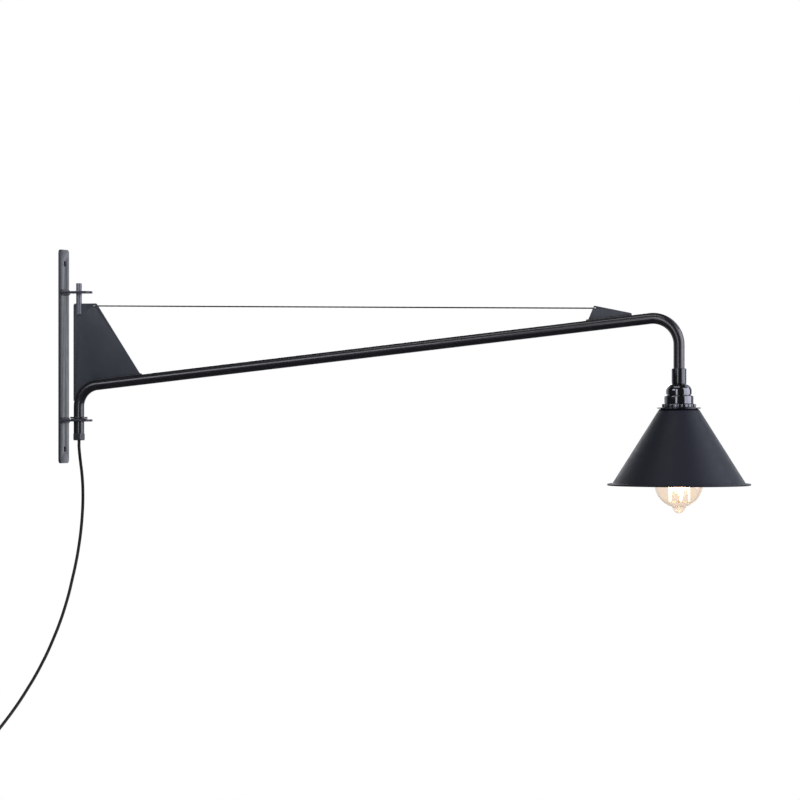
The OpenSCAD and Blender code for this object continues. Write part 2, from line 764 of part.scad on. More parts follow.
// Spun cone with a flat brim and a rolled rim. Heights are below the shade's flat top
module shade() {
    top_r = shade_top_d / 2;
    cone_r = cone_d / 2;
    rim_r = rim_d / 2 - rim_bead_d / 2;
    hole_r = barrel_r + slip_fit;
    lean = atan2(cone_r - top_r, cone_h);
    half = (90 - lean) / 2;
    brim_centre = [cone_r + brim_bend_r * tan(half), -cone_h + brim_bend_r];
    top_bend_r = brim_bend_r / 2 + shade_wall;
    top_centre = [top_r - top_bend_r * tan(half), -top_bend_r];
    color([0.15, 0.16, 0.19]) at_shade() translate([0, 0, shade_top]) {
        turned() polygon(concat(
            [[hole_r, -shade_wall], [hole_r, 0]],
            arc_points(top_centre, top_bend_r, 90, lean, bend_parts),
            arc_points(brim_centre, brim_bend_r, 180 + lean, 270, bend_parts),
            [[rim_r, -cone_h], [rim_r, -cone_h - shade_wall]],
            arc_points(brim_centre, brim_bend_r + shade_wall, 270, 180 + lean, bend_parts),
            arc_points(top_centre, top_bend_r - shade_wall, lean, 90, bend_parts)
        ));
        turned() translate([rim_r, -cone_h - shade_wall / 2]) circle(d = rim_bead_d);
    }
}

// Insulating body inside the barrel, with a deep cup for the screw shell
module socket_insulator() {
    out_r = barrel_bore_r - slip_fit;
    low = barrel_end + holder_wall;
    color([0.86, 0.84, 0.78]) at_shade() difference() {
        translate([0, 0, low]) cylinder(h = insulator_top - low, r = out_r);
        translate([0, 0, low - cut_over]) cylinder(h = web_bottom - low + cut_over, r = out_r - insulator_wall);
        for (side = [-1, 1]) translate([side * terminal_x, 0, insulator_top - terminal_shank])
            cylinder(h = terminal_shank + cut_over, r = terminal_shank_r + slip_fit);
    }
}

module terminal_screws() {
    color([0.75, 0.6, 0.3]) at_shade() for (side = [-1, 1]) translate([side * terminal_x, 0, insulator_top])
        difference() {
            union() {
                cylinder(h = terminal_h, r = terminal_r);
                translate([0, 0, -terminal_shank + slip_fit])
                    cylinder(h = terminal_shank, r = terminal_shank_r);
            }
            translate([-core_r / 2, -terminal_r * 2, terminal_h - core_r]) cube([core_r, terminal_r * 4, core_r * 2]);
        }
}

// Two cores, from the end of the cable to the terminal screws
module terminal_wires() {
    start = core_r + slip_fit;
    colours = [[0.1, 0.1, 0.1], [0.9, 0.9, 0.88]];
    knee_z = insulator_top + terminal_h + 3 * core_r;
    lean = atan2(terminal_x - start, cable_end_z - knee_z);
    for (i = [0, 1]) color(colours[i]) at_shade() {
        side = 2 * i - 1;
        knee = [side * terminal_x, 0, knee_z];
        rod([side * start, 0, cable_end_z - slip_fit - core_r * sin(lean)], knee, core_r);
        translate(knee) sphere(r = core_r);
        rod(knee, [side * terminal_x, 0, insulator_top + terminal_h + slip_fit], core_r);
    }
}

// Thin shell that takes the bulb's thread
module screw_shell() {
    top = web_bottom - slip_fit;
    low = barrel_end + 2 * holder_wall;
    count = floor((top - low - thread_pitch) / thread_pitch);
    color([0.8, 0.65, 0.35]) at_shade() turned() {
        square_between([shell_r, low], [shell_r + shell_t, top]);
        square_between([shell_r / 2, top - shell_t], [shell_r + shell_t, top]);
        for (i = [0:count - 1]) translate([shell_r + shell_t, top - thread_pitch * (i + 1)])
            intersection() {
                circle(r = shell_crest_r);
                translate([-shell_t / 2, -shell_crest_r]) square([2 * shell_crest_r, 2 * shell_crest_r]);
            }
    }
}

// Springy tongue under the insulator, down to the bulb's contact
module centre_contact() {
    top = web_bottom - slip_fit;
    low = bulb_top + seat_gap;
    toe = tongue_w / 2;
    color([0.8, 0.65, 0.35]) at_shade() plate_xz(tongue_w) polygon([
        [-toe * 1.6, top], [toe, top], [toe, top - tongue_t], [-toe * 0.8 + tongue_t, low + tongue_t],
        [toe, low + tongue_t], [toe, low], [-toe * 0.8 - tongue_t, low],
        [toe - tongue_t * 4, top - tongue_t], [-toe * 1.6, top - tongue_t]
    ]);
}

// Bulb

module bulb_cap() {
    count = floor((cap_len - thread_pitch) / thread_pitch);
    color([0.78, 0.76, 0.7]) at_shade() turned() {
        square_between([thread_root_r - bulb_cap_wall, cap_low], [thread_root_r, thread_top]);
        for (i = [0:count]) translate([thread_root_r, thread_top - thread_pitch * (i + 0.7)])
            intersection() {
                circle(r = crest_r);
                translate([-bulb_cap_wall / 2, -crest_r]) square([2 * crest_r, 2 * crest_r]);
            }
    }
}

module bulb_insulator() {
    color([0.05, 0.05, 0.06]) at_shade() turned() polygon([
        [0, bulb_top - contact_h], [contact_r, bulb_top - contact_h], [thread_root_r - crest_r, thread_top],
        [thread_root_r - bulb_cap_wall - slip_fit, thread_top], [thread_root_r - bulb_cap_wall - slip_fit, thread_top - 2],
        [0, thread_top - 2]
    ]);
}

module bulb_contact() {
    color([0.75, 0.73, 0.68]) at_shade() turned() polygon([
        [0, bulb_top - contact_h], [contact_r, bulb_top - contact_h], [contact_r - edge_bevel, bulb_top], [0, bulb_top]
    ]);
}

// Solid of the glass, drawn in by s all round: neck, hollow shoulder, globe and drawn tip
module glass_solid(s) {
    centre = [neck_r + neck_fillet_r, neck_fillet_z];
    touch = atan2(globe_z - neck_fillet_z, -neck_r - neck_fillet_r);
    translate([0, 0, globe_z]) sphere(r = globe_r - s);
    translate([0, 0, globe_z - globe_r + tip_d / 2 - tip_len]) sphere(r = tip_d / 2 - s);
    turned() polygon(concat(
        [[0, globe_z], [0, cap_low + neck_insert + s], [neck_r - s, cap_low + neck_insert + s]],
        arc_points(centre, neck_fillet_r + s, 180, 360 + touch, shoulder_parts)
    ));
}

module bulb_glass() {
    color([0.95, 0.75, 0.5, 0.4]) at_shade() difference() {
        glass_solid(0);
        glass_solid(glass_t);
    }
}

// Glass stem that closes the neck and carries the filament
module bulb_stem() {
    flare_r = neck_r - glass_t - slip_fit;
    color([0.8, 0.85, 0.85, 0.5]) at_shade() turned() polygon([
        [0, stem_top], [flare_r, stem_top], [flare_r, stem_top - glass_t], [stem_r, stem_top - stem_r * 2],
        [stem_r, stem_end + stem_r / 2], [stem_r * 0.7, stem_end], [0, stem_end]
    ]);
}

// Corner i of the cage. Even corners are at the top, odd ones at the foot
function cage_corner(i) =
    let (turn = 360 * i / (cage_strands + 1))
    [cage_r * cos(turn), cage_r * sin(turn), i % 2 == 0 ? cage_top : cage_bottom];

// Bent wire from the stem's end out to p
module cage_lead(x, y, p) {
    knee = [x, y, stem_end - 2 * stem_r];
    translate(knee) cylinder(h = 2 * stem_r, r = support_r);
    translate(knee) sphere(r = support_r + hair);
    rod(knee, p, support_r);
}

// Wires that hold the filament: a post with two beads, an arm to each corner but two, and a lead to each of those two
module bulb_supports() {
    color([0.6, 0.58, 0.55]) at_shade() {
        translate([0, 0, cage_bottom]) cylinder(h = stem_end - cage_bottom, r = support_r * 1.5);
        for (z = [cage_bottom, cage_top]) translate([0, 0, z]) cylinder(h = cage_bead_h, r = cage_bead_r, center = true);
        for (i = [1:cage_strands - 1]) {
            out = cage_corner(i);
            rod([out[0] * cage_bead_r * 0.7 / cage_r, out[1] * cage_bead_r * 0.7 / cage_r, out[2]], out, support_r);
        }
        cage_lead(stem_r / 2, stem_r / 4, cage_corner(0));
        cage_lead(stem_r / 2, -stem_r / 4, cage_corner(cage_strands));
    }
}

// Glowing strand that runs up and down from corner to corner
module bulb_filament() {
    function lift(i) = [0, 0, (i % 2 == 0 ? -1 : 1) * (support_r + filament_r + slip_fit)];
    color([1, 0.85, 0.5]) at_shade() {
        for (i = [0:cage_strands - 1])
            rod(cage_corner(i) + lift(i), cage_corner(i + 1) + lift(i + 1), filament_r);
        for (i = [0:cage_strands])
            translate(cage_corner(i) + lift(i)) sphere(r = filament_r + hair);
    }
}

// Cord

// Smooth curve through the points p, at the share t of the stretch from point i to point i + 1
function spline(p, i, t) =
    let (
        n = len(p) - 1,
        a = p[i], b = p[i + 1],
        u = i > 0 ? (b - p[i - 1]) / 2 : b - a,
        v = i < n - 1 ? (p[i + 2] - a) / 2 : b - a
    )
    (2 * pow(t, 3) - 3 * pow(t, 2) + 1) * a + (pow(t, 3) - 2 * pow(t, 2) + t) * u
    + (3 * pow(t, 2) - 2 * pow(t, 3)) * b + (pow(t, 3) - pow(t, 2)) * v;

// The curve as points about step apart
function curve(p, step) = concat(
    [
        for (i = [0:len(p) - 2])
            let (parts = max(1, round(norm(p[i + 1] - p[i]) / step)))
            for (k = [0:parts - 1]) spline(p, i, k / parts)
    ],
    [p[len(p) - 1]]
);

function length_of(p, i = 1) = i >= len(p) ? 0 : norm(p[i] - p[i - 1]) + length_of(p, i + 1);

// Direction of the path at point i, square to the ends given by first and last
function heading(p, i, first, last) =
    i == 0 ? first : i == len(p) - 1 ? last : unit(p[i + 1] - p[i - 1]);

// Carries the direction "side" along the path without twist
function carried(p, dirs, i, side) = unit(side - (side * dirs[i]) * dirs[i]);
function sides_along(p, dirs, side) = [
    for (i = 0, s = carried(p, dirs, 0, side); i < len(p);
        i = i + 1, s = i < len(p) ? carried(p, dirs, i, s) : s) s
];

// Tube of radius r along the points p, closed at both ends
module tube_along(p, r, sides, first, last) {
    dirs = [for (i = [0:len(p) - 1]) heading(p, i, first, last)];
    across = sides_along(p, dirs, abs(first[0]) < 0.9 ? [1, 0, 0] : [0, 1, 0]);
    points = [
        for (i = [0:len(p) - 1], k = [0:sides - 1])
            let (up = cross(dirs[i], across[i]), turn = 360 * k / sides)
            p[i] + r * (cos(turn) * across[i] + sin(turn) * up)
    ];
    last_ring = (len(p) - 1) * sides;
    faces = concat(
        [for (k = [1:sides - 2]) [0, k + 1, k]],
        [for (k = [1:sides - 2]) [last_ring, last_ring + k, last_ring + k + 1]],
        [
            for (i = [0:len(p) - 2], k = [0:sides - 1])
                let (a = i * sides + k, b = i * sides + (k + 1) % sides)
                each [[a, b, b + sides], [a, b + sides, a + sides]]
        ]
    );
    polyhedron(points, [for (f = faces) [f[0], f[2], f[1]]]);
}

// Coil: turn number t counts from its first point. Its layer, its radius and its place follow from t
coil_marks = [
    for (k = 0, t = 0; k < coil_layers; t = t + coil_layer_turns[k] + coil_turn_in, k = k + 1) t
];
coil_turns = coil_marks[coil_layers - 1] + coil_layer_turns[coil_layers - 1];
function coil_layer(t, k = 0) = k + 1 < coil_layers && t >= coil_marks[k + 1] ? coil_layer(t, k + 1) : k;
function coil_radius(k, t) =
    let (run = min(t - coil_marks[k], coil_layer_turns[k]) * coil_pitch)
    k % 2 == 0 ? coil_out_r - run : coil_in_r + run;
function coil_height(k, t) =
    let (climb = max(0, t - coil_marks[k] - coil_layer_turns[k]) / coil_turn_in)
    wall_gap + coil_pitch * (k + climb * climb * (3 - 2 * climb));
function coil_point(t) =
    let (k = coil_layer(t), turn = coil_start + 360 * t, r = coil_radius(k, t))
    [coil_height(k, t), coil_y + r * cos(turn), coil_z + r * sin(turn)];
function coil_heading(t) =
    let (turn = coil_start + 360 * t) [0, -sin(turn), cos(turn)];
coil_first = coil_point(0) - cord_d * coil_heading(0);
coil_last = coil_point(coil_turns) + cord_d * coil_heading(coil_turns);
coil_path = concat(
    [coil_first],
    [for (i = [0:round(coil_turns * coil_rings)]) coil_point(i * coil_turns / round(coil_turns * coil_rings))],
    [coil_last]
);

// Least gap between turns, between points at least half a turn apart along the coil
coil_gap = min([
    for (i = [1:len(coil_path) - 2])
        for (j = [i + coil_rings / 2:1:len(coil_path) - 2]) norm(coil_path[i] - coil_path[j])
]) - cord_d;

cord_path = curve(concat([[pivot_x, 0, gland_z]], cord_route, [coil_first]), cord_step);
relief_top = [plug_x, plug_y, plug_z];
tail_path = curve(concat([coil_last], tail_route, [relief_top]), cord_step);

module power_cord() {
    color([0.07, 0.07, 0.07])
        tube_along(cord_path, cord_d / 2, cord_sides, [0, 0, -1], coil_heading(0));
}

module cord_coil() {
    color([0.07, 0.07, 0.07])
        tube_along(coil_path, cord_d / 2, coil_sides, coil_heading(0), coil_heading(coil_turns));
}

module cord_tail() {
    color([0.07, 0.07, 0.07])
        tube_along(tail_path, cord_d / 2, cord_sides, coil_heading(coil_turns), [0, 0, -1]);
}

// Strap round the coil's turns, on the side that faces away from the plug
module cord_tie() {
    w = coil_out_r - coil_in_r + cord_d + 2 * tie_gap;
    h = (coil_layers - 1) * coil_pitch + cord_d + 2 * tie_gap;
    color([0.05, 0.05, 0.05])
        translate([wall_gap + (coil_layers - 1) * coil_pitch / 2, coil_y + (coil_in_r + coil_out_r) / 2, coil_z])
            linear_extrude(height = tie_w, center = true) difference() {
                rounded_rect(h + 2 * tie_t, w + 2 * tie_t, tie_t * 2);
                rounded_rect(h, w, tie_t);
            }
}

// Ribbed strain relief between the cord and the plug
module plug_relief() {
    pitch = relief_len / (relief_ribs + 1);
    function taper(z) = relief_low_r + (relief_top_r - relief_low_r) * z / relief_len;
    color([0.07, 0.07, 0.07]) translate([plug_x, plug_y, plug_z - relief_len]) turned() polygon(concat(
        [[0, 0], [relief_low_r, 0]],
        [
            for (i = [1:relief_ribs])
                let (z = i * pitch, half = pitch * relief_rib_share / 2)
                each [
                    [taper(z - half), z - half], [taper(z - half) - relief_groove, z - half],
                    [taper(z + half) - relief_groove, z + half], [taper(z + half), z + half]
                ]
        ],
        [[relief_top_r, relief_len], [0, relief_len]]
    ));
}

// Outline of the plug from one side: a block whose shoulders slope in to the neck
module plug_side(w, neck) {
    slope = plug_len * plug_shoulder_share;
    rounded(
        [[-w / 2, -plug_len], [w / 2, -plug_len], [w / 2, -slope], [neck / 2, 0], [-neck / 2, 0], [-w / 2, -slope]],
        [plug_corner_r / 2, plug_corner_r / 2, plug_corner_r, 0, 0, plug_corner_r]
    );
}

module plug_body() {
    color([0.07, 0.07, 0.07]) translate([plug_x, plug_y, plug_z - relief_len]) difference() {
        intersection() {
            rotate([90, 0, 90]) linear_extrude(height = plug_t, center = true) plug_side(plug_w, plug_neck_w);
            rotate([90, 0, 0]) linear_extrude(height = plug_w, center = true) plug_side(plug_t, plug_neck_t);
        }
        for (side = [-1, 1]) translate([0, side * blade_spacing / 2, -plug_len + (blade_root - cut_over) / 2])
            cube(
                [blade_w + 2 * slip_fit, blade_t + 2 * slip_fit, blade_root + cut_over], center = true
            );
    }
}

module plug_blades() {
    hole_d = blade_w / 2;
    color([0.8, 0.7, 0.4]) translate([plug_x, plug_y, plug_z - relief_len - plug_len])
        for (side = [-1, 1]) translate([0, side * blade_spacing / 2, 0]) rotate([90, 0, 90]) rotate([0, 90, 0])
            linear_extrude(height = blade_t, center = true) difference() {
                rounded(
                    [
                        [-blade_w / 2, blade_root - slip_fit], [blade_w / 2, blade_root - slip_fit],
                        [blade_w / 2, -blade_len], [-blade_w / 2, -blade_len]
                    ],
                    [0, 0, blade_w / 4, blade_w / 4]
                );
                translate([0, -blade_len + hole_d * 1.5]) circle(d = hole_d);
            }
}

echo(cord_length = length_of(cord_path) + length_of(coil_path) + length_of(tail_path));
echo(coil_gap = coil_gap, coil_turns = coil_turns, rings = [len(cord_path), len(coil_path), len(tail_path)]);

wall_plate();
upper_lug();
lower_lug();
lug_welds();
thrust_washer();
arm_tube();
stop_collar();
hinge_gusset();
pivot_pin();
tip_gusset();
gusset_welds();
stay_wire();
wire_beads();
cord_gland();
gland_grommet();
arm_cable();
holder_sleeve();
sleeve_screw();
threaded_nipple();
holder_cap();
holder_body();
shade_ring();
shade_washer();
retaining_ring();
shade();
socket_insulator();
terminal_screws();
terminal_wires();
screw_shell();
centre_contact();
bulb_cap();
bulb_insulator();
bulb_contact();
bulb_glass();
bulb_stem();
bulb_supports();
bulb_filament();
power_cord();
cord_coil();
cord_tail();
cord_tie();
plug_relief();
plug_body();
plug_blades();
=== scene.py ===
# %% [markdown]
# # A wall lamp on a swing arm
#
# The lamp is a steel tube that swings in two lugs on a wall plate. Two gussets and a stay wire brace it, a spun cone
# hangs over a bare bulb at its far end, and a black cord drops out of its foot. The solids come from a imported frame,
# in metres, so everything here is made in the same place and at the same size, and no piece is ever moved to fit.

import math

import bmesh
import bpy
import numpy as np
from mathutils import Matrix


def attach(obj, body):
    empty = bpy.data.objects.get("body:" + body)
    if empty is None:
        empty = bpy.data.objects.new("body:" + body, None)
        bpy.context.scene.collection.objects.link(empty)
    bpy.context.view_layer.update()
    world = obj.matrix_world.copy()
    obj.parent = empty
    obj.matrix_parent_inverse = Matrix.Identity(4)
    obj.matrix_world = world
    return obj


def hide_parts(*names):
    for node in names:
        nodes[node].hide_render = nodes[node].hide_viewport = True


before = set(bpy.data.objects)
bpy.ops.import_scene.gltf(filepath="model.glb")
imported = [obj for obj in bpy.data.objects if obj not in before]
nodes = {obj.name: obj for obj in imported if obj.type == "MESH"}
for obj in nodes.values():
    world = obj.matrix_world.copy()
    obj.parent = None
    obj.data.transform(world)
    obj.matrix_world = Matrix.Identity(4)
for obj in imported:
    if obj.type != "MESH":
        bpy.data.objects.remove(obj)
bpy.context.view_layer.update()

# %% [markdown]
# ## Sizes
#
# The drawing of the lamp is in millimetres, so the sizes are written that way and multiplied by MM where a mesh is
# made. They are the values of the lamp's own drawing: the arm's line, its two bends and the stack of the lampholder.
# HAIR is the gap that keeps two pieces apart where the real ones touch, and PLAY the one round a piece that turns or
# slides in another.

# %% Sizes of the arm
MM = 0.001
PIVOT = 23.0
REACH = 799.0
TIP = PIVOT + REACH
RISE_DEGREES = 6.3
RISE = math.radians(RISE_DEGREES)
TUBE_R = 7.0
BORE_R = 5.8
ELBOW_R = 28.5
TIP_BEND_R = 33.0
DROP = 40.0
ELBOW_CUT = ELBOW_R * math.tan((math.pi / 2 - RISE) / 2)
ELBOW_CENTRE = (PIVOT + ELBOW_R, -DROP - ELBOW_CUT)
TIP_CUT = TIP_BEND_R * math.tan((math.pi / 2 + RISE) / 2)
FOOT_Z = -100.5
GLAND_Z = -109.5
HAIR, PLAY = 0.02, 0.05


def arm_z(x):
    """Height of the arm's centre line at x: a straight line that rises at RISE from -DROP on the swing axis."""
    return -DROP + (x - PIVOT) * math.tan(RISE)


print("arm line at the tip, mm:", round(arm_z(TIP), 2))

# %% [markdown]
# The lampholder hangs on the tube's end as a stack, so each height is the one above it less the piece between them.
# The bulb's heights start where its cap meets the holder's tongue. Written this way, a change to one piece moves all
# that hangs below it.

# %% Sizes of the lampholder and the bulb
SLEEVE_TOP = arm_z(TIP) - 66.0
SLEEVE_LOW = SLEEVE_TOP - 19.0
CAP_LOW = SLEEVE_LOW - 13.2
SKIRT_TOP = CAP_LOW - 1.0
SKIRT_LOW = SKIRT_TOP - 10.7
RING_LOW = SKIRT_LOW - 4.4
SHADE_TOP = RING_LOW - 1.5
BARREL_END = SKIRT_LOW - 39.6
BARREL_R = 17.4
CLAMP_BORE = BARREL_R + PLAY
WEB_LOW = SKIRT_TOP - 3.0 - 19.0
BULB_TOP = WEB_LOW - 6.0
THREAD_TOP = BULB_TOP - 6.0
BULB_CAP_LOW = THREAD_TOP - 22.0
BULB_LENGTH = 118.5
GLOBE_R = 30.6
DRAWN_TIP = 6.6
GLOBE_Z = BULB_TOP - BULB_LENGTH + DRAWN_TIP + GLOBE_R
print("shade top, mm:", round(SHADE_TOP, 2), "globe centre, mm:", round(GLOBE_Z, 2))

# %% [markdown]
# ## Camera
#
# A picture like this one is taken from far away with a long lens, which keeps the plate's edges and the rim nearly
# parallel. The camera stands 17 degrees to the side of the lamp's own front view, level, and looks at the middle of
# the arm. Its lens is worked out from the picture's width: a focal length of 4.3 picture widths.

# %% Place the camera
AIM = np.array([0.461, 0.0, -0.0569])
AROUND = math.radians(17.0)
AWAY = 4.361
SENSOR = 36.0
PICTURE_WIDTHS = 3440.0 / 800.0


def added(name, data):
    """A new object of that data, put in the scene."""
    made = bpy.data.objects.new(name, data)
    bpy.context.scene.collection.objects.link(made)
    return made


camera_data = bpy.data.cameras.new("camera")
camera_data.sensor_width = SENSOR
camera_data.lens = PICTURE_WIDTHS * SENSOR
camera_data.clip_end = 60.0
camera = added("camera", camera_data)
camera.location = AIM + AWAY * np.array([math.sin(AROUND), -math.cos(AROUND), 0.0])
camera.rotation_euler = (math.pi / 2, 0.0, AROUND)
bpy.context.scene.camera = camera
print("camera at", [round(v, 3) for v in camera.location])

# %% [markdown]
# ## Shapes as functions
#
# Nearly every piece here is one of three things: an outline turned about an axis, a section carried along a path,
# or a flat outline given a thickness. The first two are grids of points worked out as whole arrays, and the faces of
# a grid are the same four neighbours everywhere, so one helper makes the mesh for both.

# %% A mesh from a grid of points
CLOSE = 2e-7


def grid_faces(rows, columns, wrap_rows, wrap_columns):
    """Quads of a grid: corners (i, j), (i+1, j), (i+1, j+1) and (i, j+1), wrapped round where asked."""
    i = np.arange(rows if wrap_rows else rows - 1)
    j = np.arange(columns if wrap_columns else columns - 1)
    i, j = np.meshgrid(i, j, indexing="ij")
    k, m = (i + 1) % rows, (j + 1) % columns
    return np.stack([i * columns + j, k * columns + j, k * columns + m, i * columns + m], -1).reshape(-1, 4)


def gridded(rows, closed):
    """Points in metres and faces of a grid of rows in mm that each go once round; closed joins last row and first."""
    return rows.reshape(-1, 3) * MM, grid_faces(len(rows), rows.shape[1], closed, True)


def cleaned(name, mesh, merge, crease, flat=0.0):
    """Merges points closer than merge, turns the faces outwards, and keeps edges over crease degrees sharp.

    flat, if given, first joins faces that lie within that many degrees of one another.
    """
    work = bmesh.new()
    work.from_mesh(mesh)
    bmesh.ops.remove_doubles(work, verts=work.verts, dist=merge)
    if flat:
        bmesh.ops.dissolve_limit(work, angle_limit=math.radians(flat), verts=work.verts, edges=work.edges)
    bmesh.ops.recalc_face_normals(work, faces=work.faces)
    work.to_mesh(mesh)
    work.free()
    mesh.shade_smooth()
    mesh.set_sharp_from_angle(angle=math.radians(crease))
    return added(name, mesh)


def mesh_piece(name, parts, crease):
    """One mesh object of (points, faces) pairs: each pair's faces count on from the points before it."""
    mesh = bpy.data.meshes.new(name)
    start, all_points, all_faces = 0, [], []
    for points, faces in parts:
        points = np.asarray(points, float).reshape(-1, 3)
        all_points.append(points)
        all_faces.append(np.asarray(faces) + start)
        start += len(points)
    mesh.from_pydata(np.concatenate(all_points).tolist(), [], np.concatenate(all_faces).tolist())
    return cleaned(name, mesh, CLOSE, crease)


print("a ring of 8 by 12 points has faces:", len(grid_faces(8, 12, True, True)))

# %% [markdown]
# Most outlines are a few corners with a radius at each, as on a workshop drawing. Blender can bevel the corners of a
# finished mesh, but a radius that is worked out first is exact, and is the same wherever the outline is used. Round
# holes and outlines with four square corners come up again and again, so they get a helper each.

# %% An outline with rounded corners


def rounded(corners, radii, parts=6):
    """Closed outline: each corner gives way to an arc that touches both sides, r / tan(half the corner) from it."""
    corners = [np.array(c, float) for c in corners]
    outline = []
    for n, corner in enumerate(corners):
        before, after = corners[n - 1] - corner, corners[(n + 1) % len(corners)] - corner
        before, after = before / np.linalg.norm(before), after / np.linalg.norm(after)
        if radii[n] == 0:
            outline.append(corner[None])
            continue
        half = math.acos(np.clip(before @ after, -1, 1)) / 2
        middle = (before + after) / np.linalg.norm(before + after)
        centre = corner + middle * radii[n] / math.sin(half)
        first = corner + before * radii[n] / math.tan(half) - centre
        last = corner + after * radii[n] / math.tan(half) - centre
        share = np.linspace(0, 1, parts + 1)[:, None]
        spread = math.pi - 2 * half
        bend = (np.sin((1 - share) * spread) * first + np.sin(share * spread) * last) / math.sin(spread)
        outline.append(centre + bend)
    return np.concatenate(outline)


def arc(centre, r, start, end, parts):
    """Points on a circle about centre, from angle start to angle end in degrees."""
    a = np.radians(np.linspace(start, end, parts + 1))
    return np.stack([centre[0] + r * np.cos(a), centre[1] + r * np.sin(a)], -1)


def round_hole(centre, r, parts):
    """Closed round outline: an arc of a whole turn, less the point that comes twice."""
    return arc(centre, r, 0, 360, parts)[:-1]


def section(low, high, inner, outer, radii, parts):
    """Four-cornered outline, such as a ring's section, with a radius for each corner from the inner low one on."""
    return rounded([[inner, low], [outer, low], [outer, high], [inner, high]], radii, parts)


print("a square with round corners has points:", len(rounded([[0, 0], [10, 0], [10, 10], [0, 10]], [2.0] * 4)))

# %% [markdown]
# A lathe makes the sleeve, the cap, the collar and the shade, and glass is blown round in much the same way: an
# outline goes once round an axis. Blender's Screw modifier does that too. A formula also lets the radius change with
# the angle, for beads and flats, so the ring and the gland need no other tool. What has a level axis is turned
# upright first, and is then laid over.

# %% An outline turned about an axis
ORIGIN = (0.0, 0.0)
ON_PIVOT = (PIVOT, 0.0)


def once_round(count):
    """A row of angles in radians, evenly spaced round one turn."""
    return np.linspace(0, 2 * np.pi, count, endpoint=False)[None, :]


def turned(outline, at=(TIP, 0.0), around=96, scallop=None):
    """Closed outline of (radius, height) in mm, turned about an upright axis: (x + r cos a, y + r sin a, z).

    scallop, if given, is a function of (radius, angle) that returns the radius there, for beads and flats.
    """
    outline = np.asarray(outline, float)
    a = once_round(around)
    r = np.broadcast_to(outline[:, :1], (len(outline), around))
    r = scallop(r, a) if scallop else r
    z = np.broadcast_to(outline[:, 1:], r.shape)
    return gridded(np.stack([at[0] + r * np.cos(a), at[1] + r * np.sin(a), z], -1), True)


def laid_over(shape, x, y, z, facing):
    """Shape turned about the origin, laid over at (x, y, z) so that its axis points back (facing 1) or front (-1)."""
    points, faces = shape
    p = points / MM
    return np.stack([x + p[:, 0], y + facing * p[:, 2], z + p[:, 1]], -1) * MM, faces


print("a washer's outline turned gives points:", len(turned([[5, 0], [9, 0], [9, 1], [5, 1]])[0]))

# %% [markdown]
# The tube, the cord, the stay and the filament are each a circle that travels along a line. A curve with a bevel
# would do for the plain ones. Here the section is a formula too, so that strands and puddles are part of the surface
# and the tube has its bore.

# %% A section carried along a path


def frames_along(path, side):
    """Side and lift at each point: the given side less its share along the tangent, and the cross product of both."""
    tangent = np.gradient(path, axis=0)
    tangent[0], tangent[-1] = path[1] - path[0], path[-1] - path[-2]
    tangent /= np.linalg.norm(tangent, axis=1, keepdims=True)
    given = np.array(side, float)
    sides = given - (tangent @ given)[:, None] * tangent
    sides /= np.linalg.norm(sides, axis=1, keepdims=True)
    return sides, np.cross(tangent, sides)


def carried(path, radius, around=24, side=(0.0, 1.0, 0.0), bore=None):
    """Tube along path (mm): point + r (cos a side + sin a lift). radius is a number or an array of (rings, around).

    With a bore the tube has an inner wall, otherwise its ends are closed to a point on the path.
    """
    path = np.asarray(path, float)
    s, lift = frames_along(path, side)
    a = once_round(around)[..., None]
    ring = np.cos(a) * s[:, None, :] + np.sin(a) * lift[:, None, :]
    r = np.broadcast_to(np.asarray(radius, float), (len(path), around))[..., None]
    outer = path[:, None, :] + r * ring
    if bore is None:
        first = np.broadcast_to(path[:1, None, :], (1, around, 3))
        last = np.broadcast_to(path[-1:, None, :], (1, around, 3))
        return gridded(np.concatenate([first, outer, last]), False)
    inner = path[::-1, None, :] + bore * ring[::-1]
    return gridded(np.concatenate([outer, inner]), True)


print("a straight rod of two rings has points:", len(carried([[0, 0, 0], [9, 0, 0]], 1.0)[0]))

# %% [markdown]
# Sheet metal is cut to an outline and its edges are eased a little, which is what makes a thin plate look like
# metal: the eased edge catches a line of light. A flat curve does this well. It fills an outline with its holes,
# gives it a thickness and rounds its edges, and is then made a mesh.

# %% A plate cut to an outline
SHORTEST = 1e-6
PLATE_CREASE = 18.0


def drawn_in(outline, by):
    """Closed outline moved inwards by a distance: each point slides along the middle of its two edge normals.

    A point that lies on the next one has no edge of its own, so it is left out first.
    """
    outline = outline[np.linalg.norm(np.roll(outline, -1, 0) - outline, axis=1) > SHORTEST]
    ahead = np.roll(outline, -1, 0) - outline
    ahead /= np.linalg.norm(ahead, axis=1, keepdims=True)
    behind = np.roll(ahead, 1, 0)
    area = np.sum(outline[:, 0] * np.roll(outline[:, 1], -1) - np.roll(outline[:, 0], -1) * outline[:, 1])
    normal = np.sign(area) * np.stack([-(ahead + behind)[:, 1], (ahead + behind)[:, 0]], -1)
    length = np.linalg.norm(normal, axis=1, keepdims=True)
    return outline + normal * by * 2 / length**2


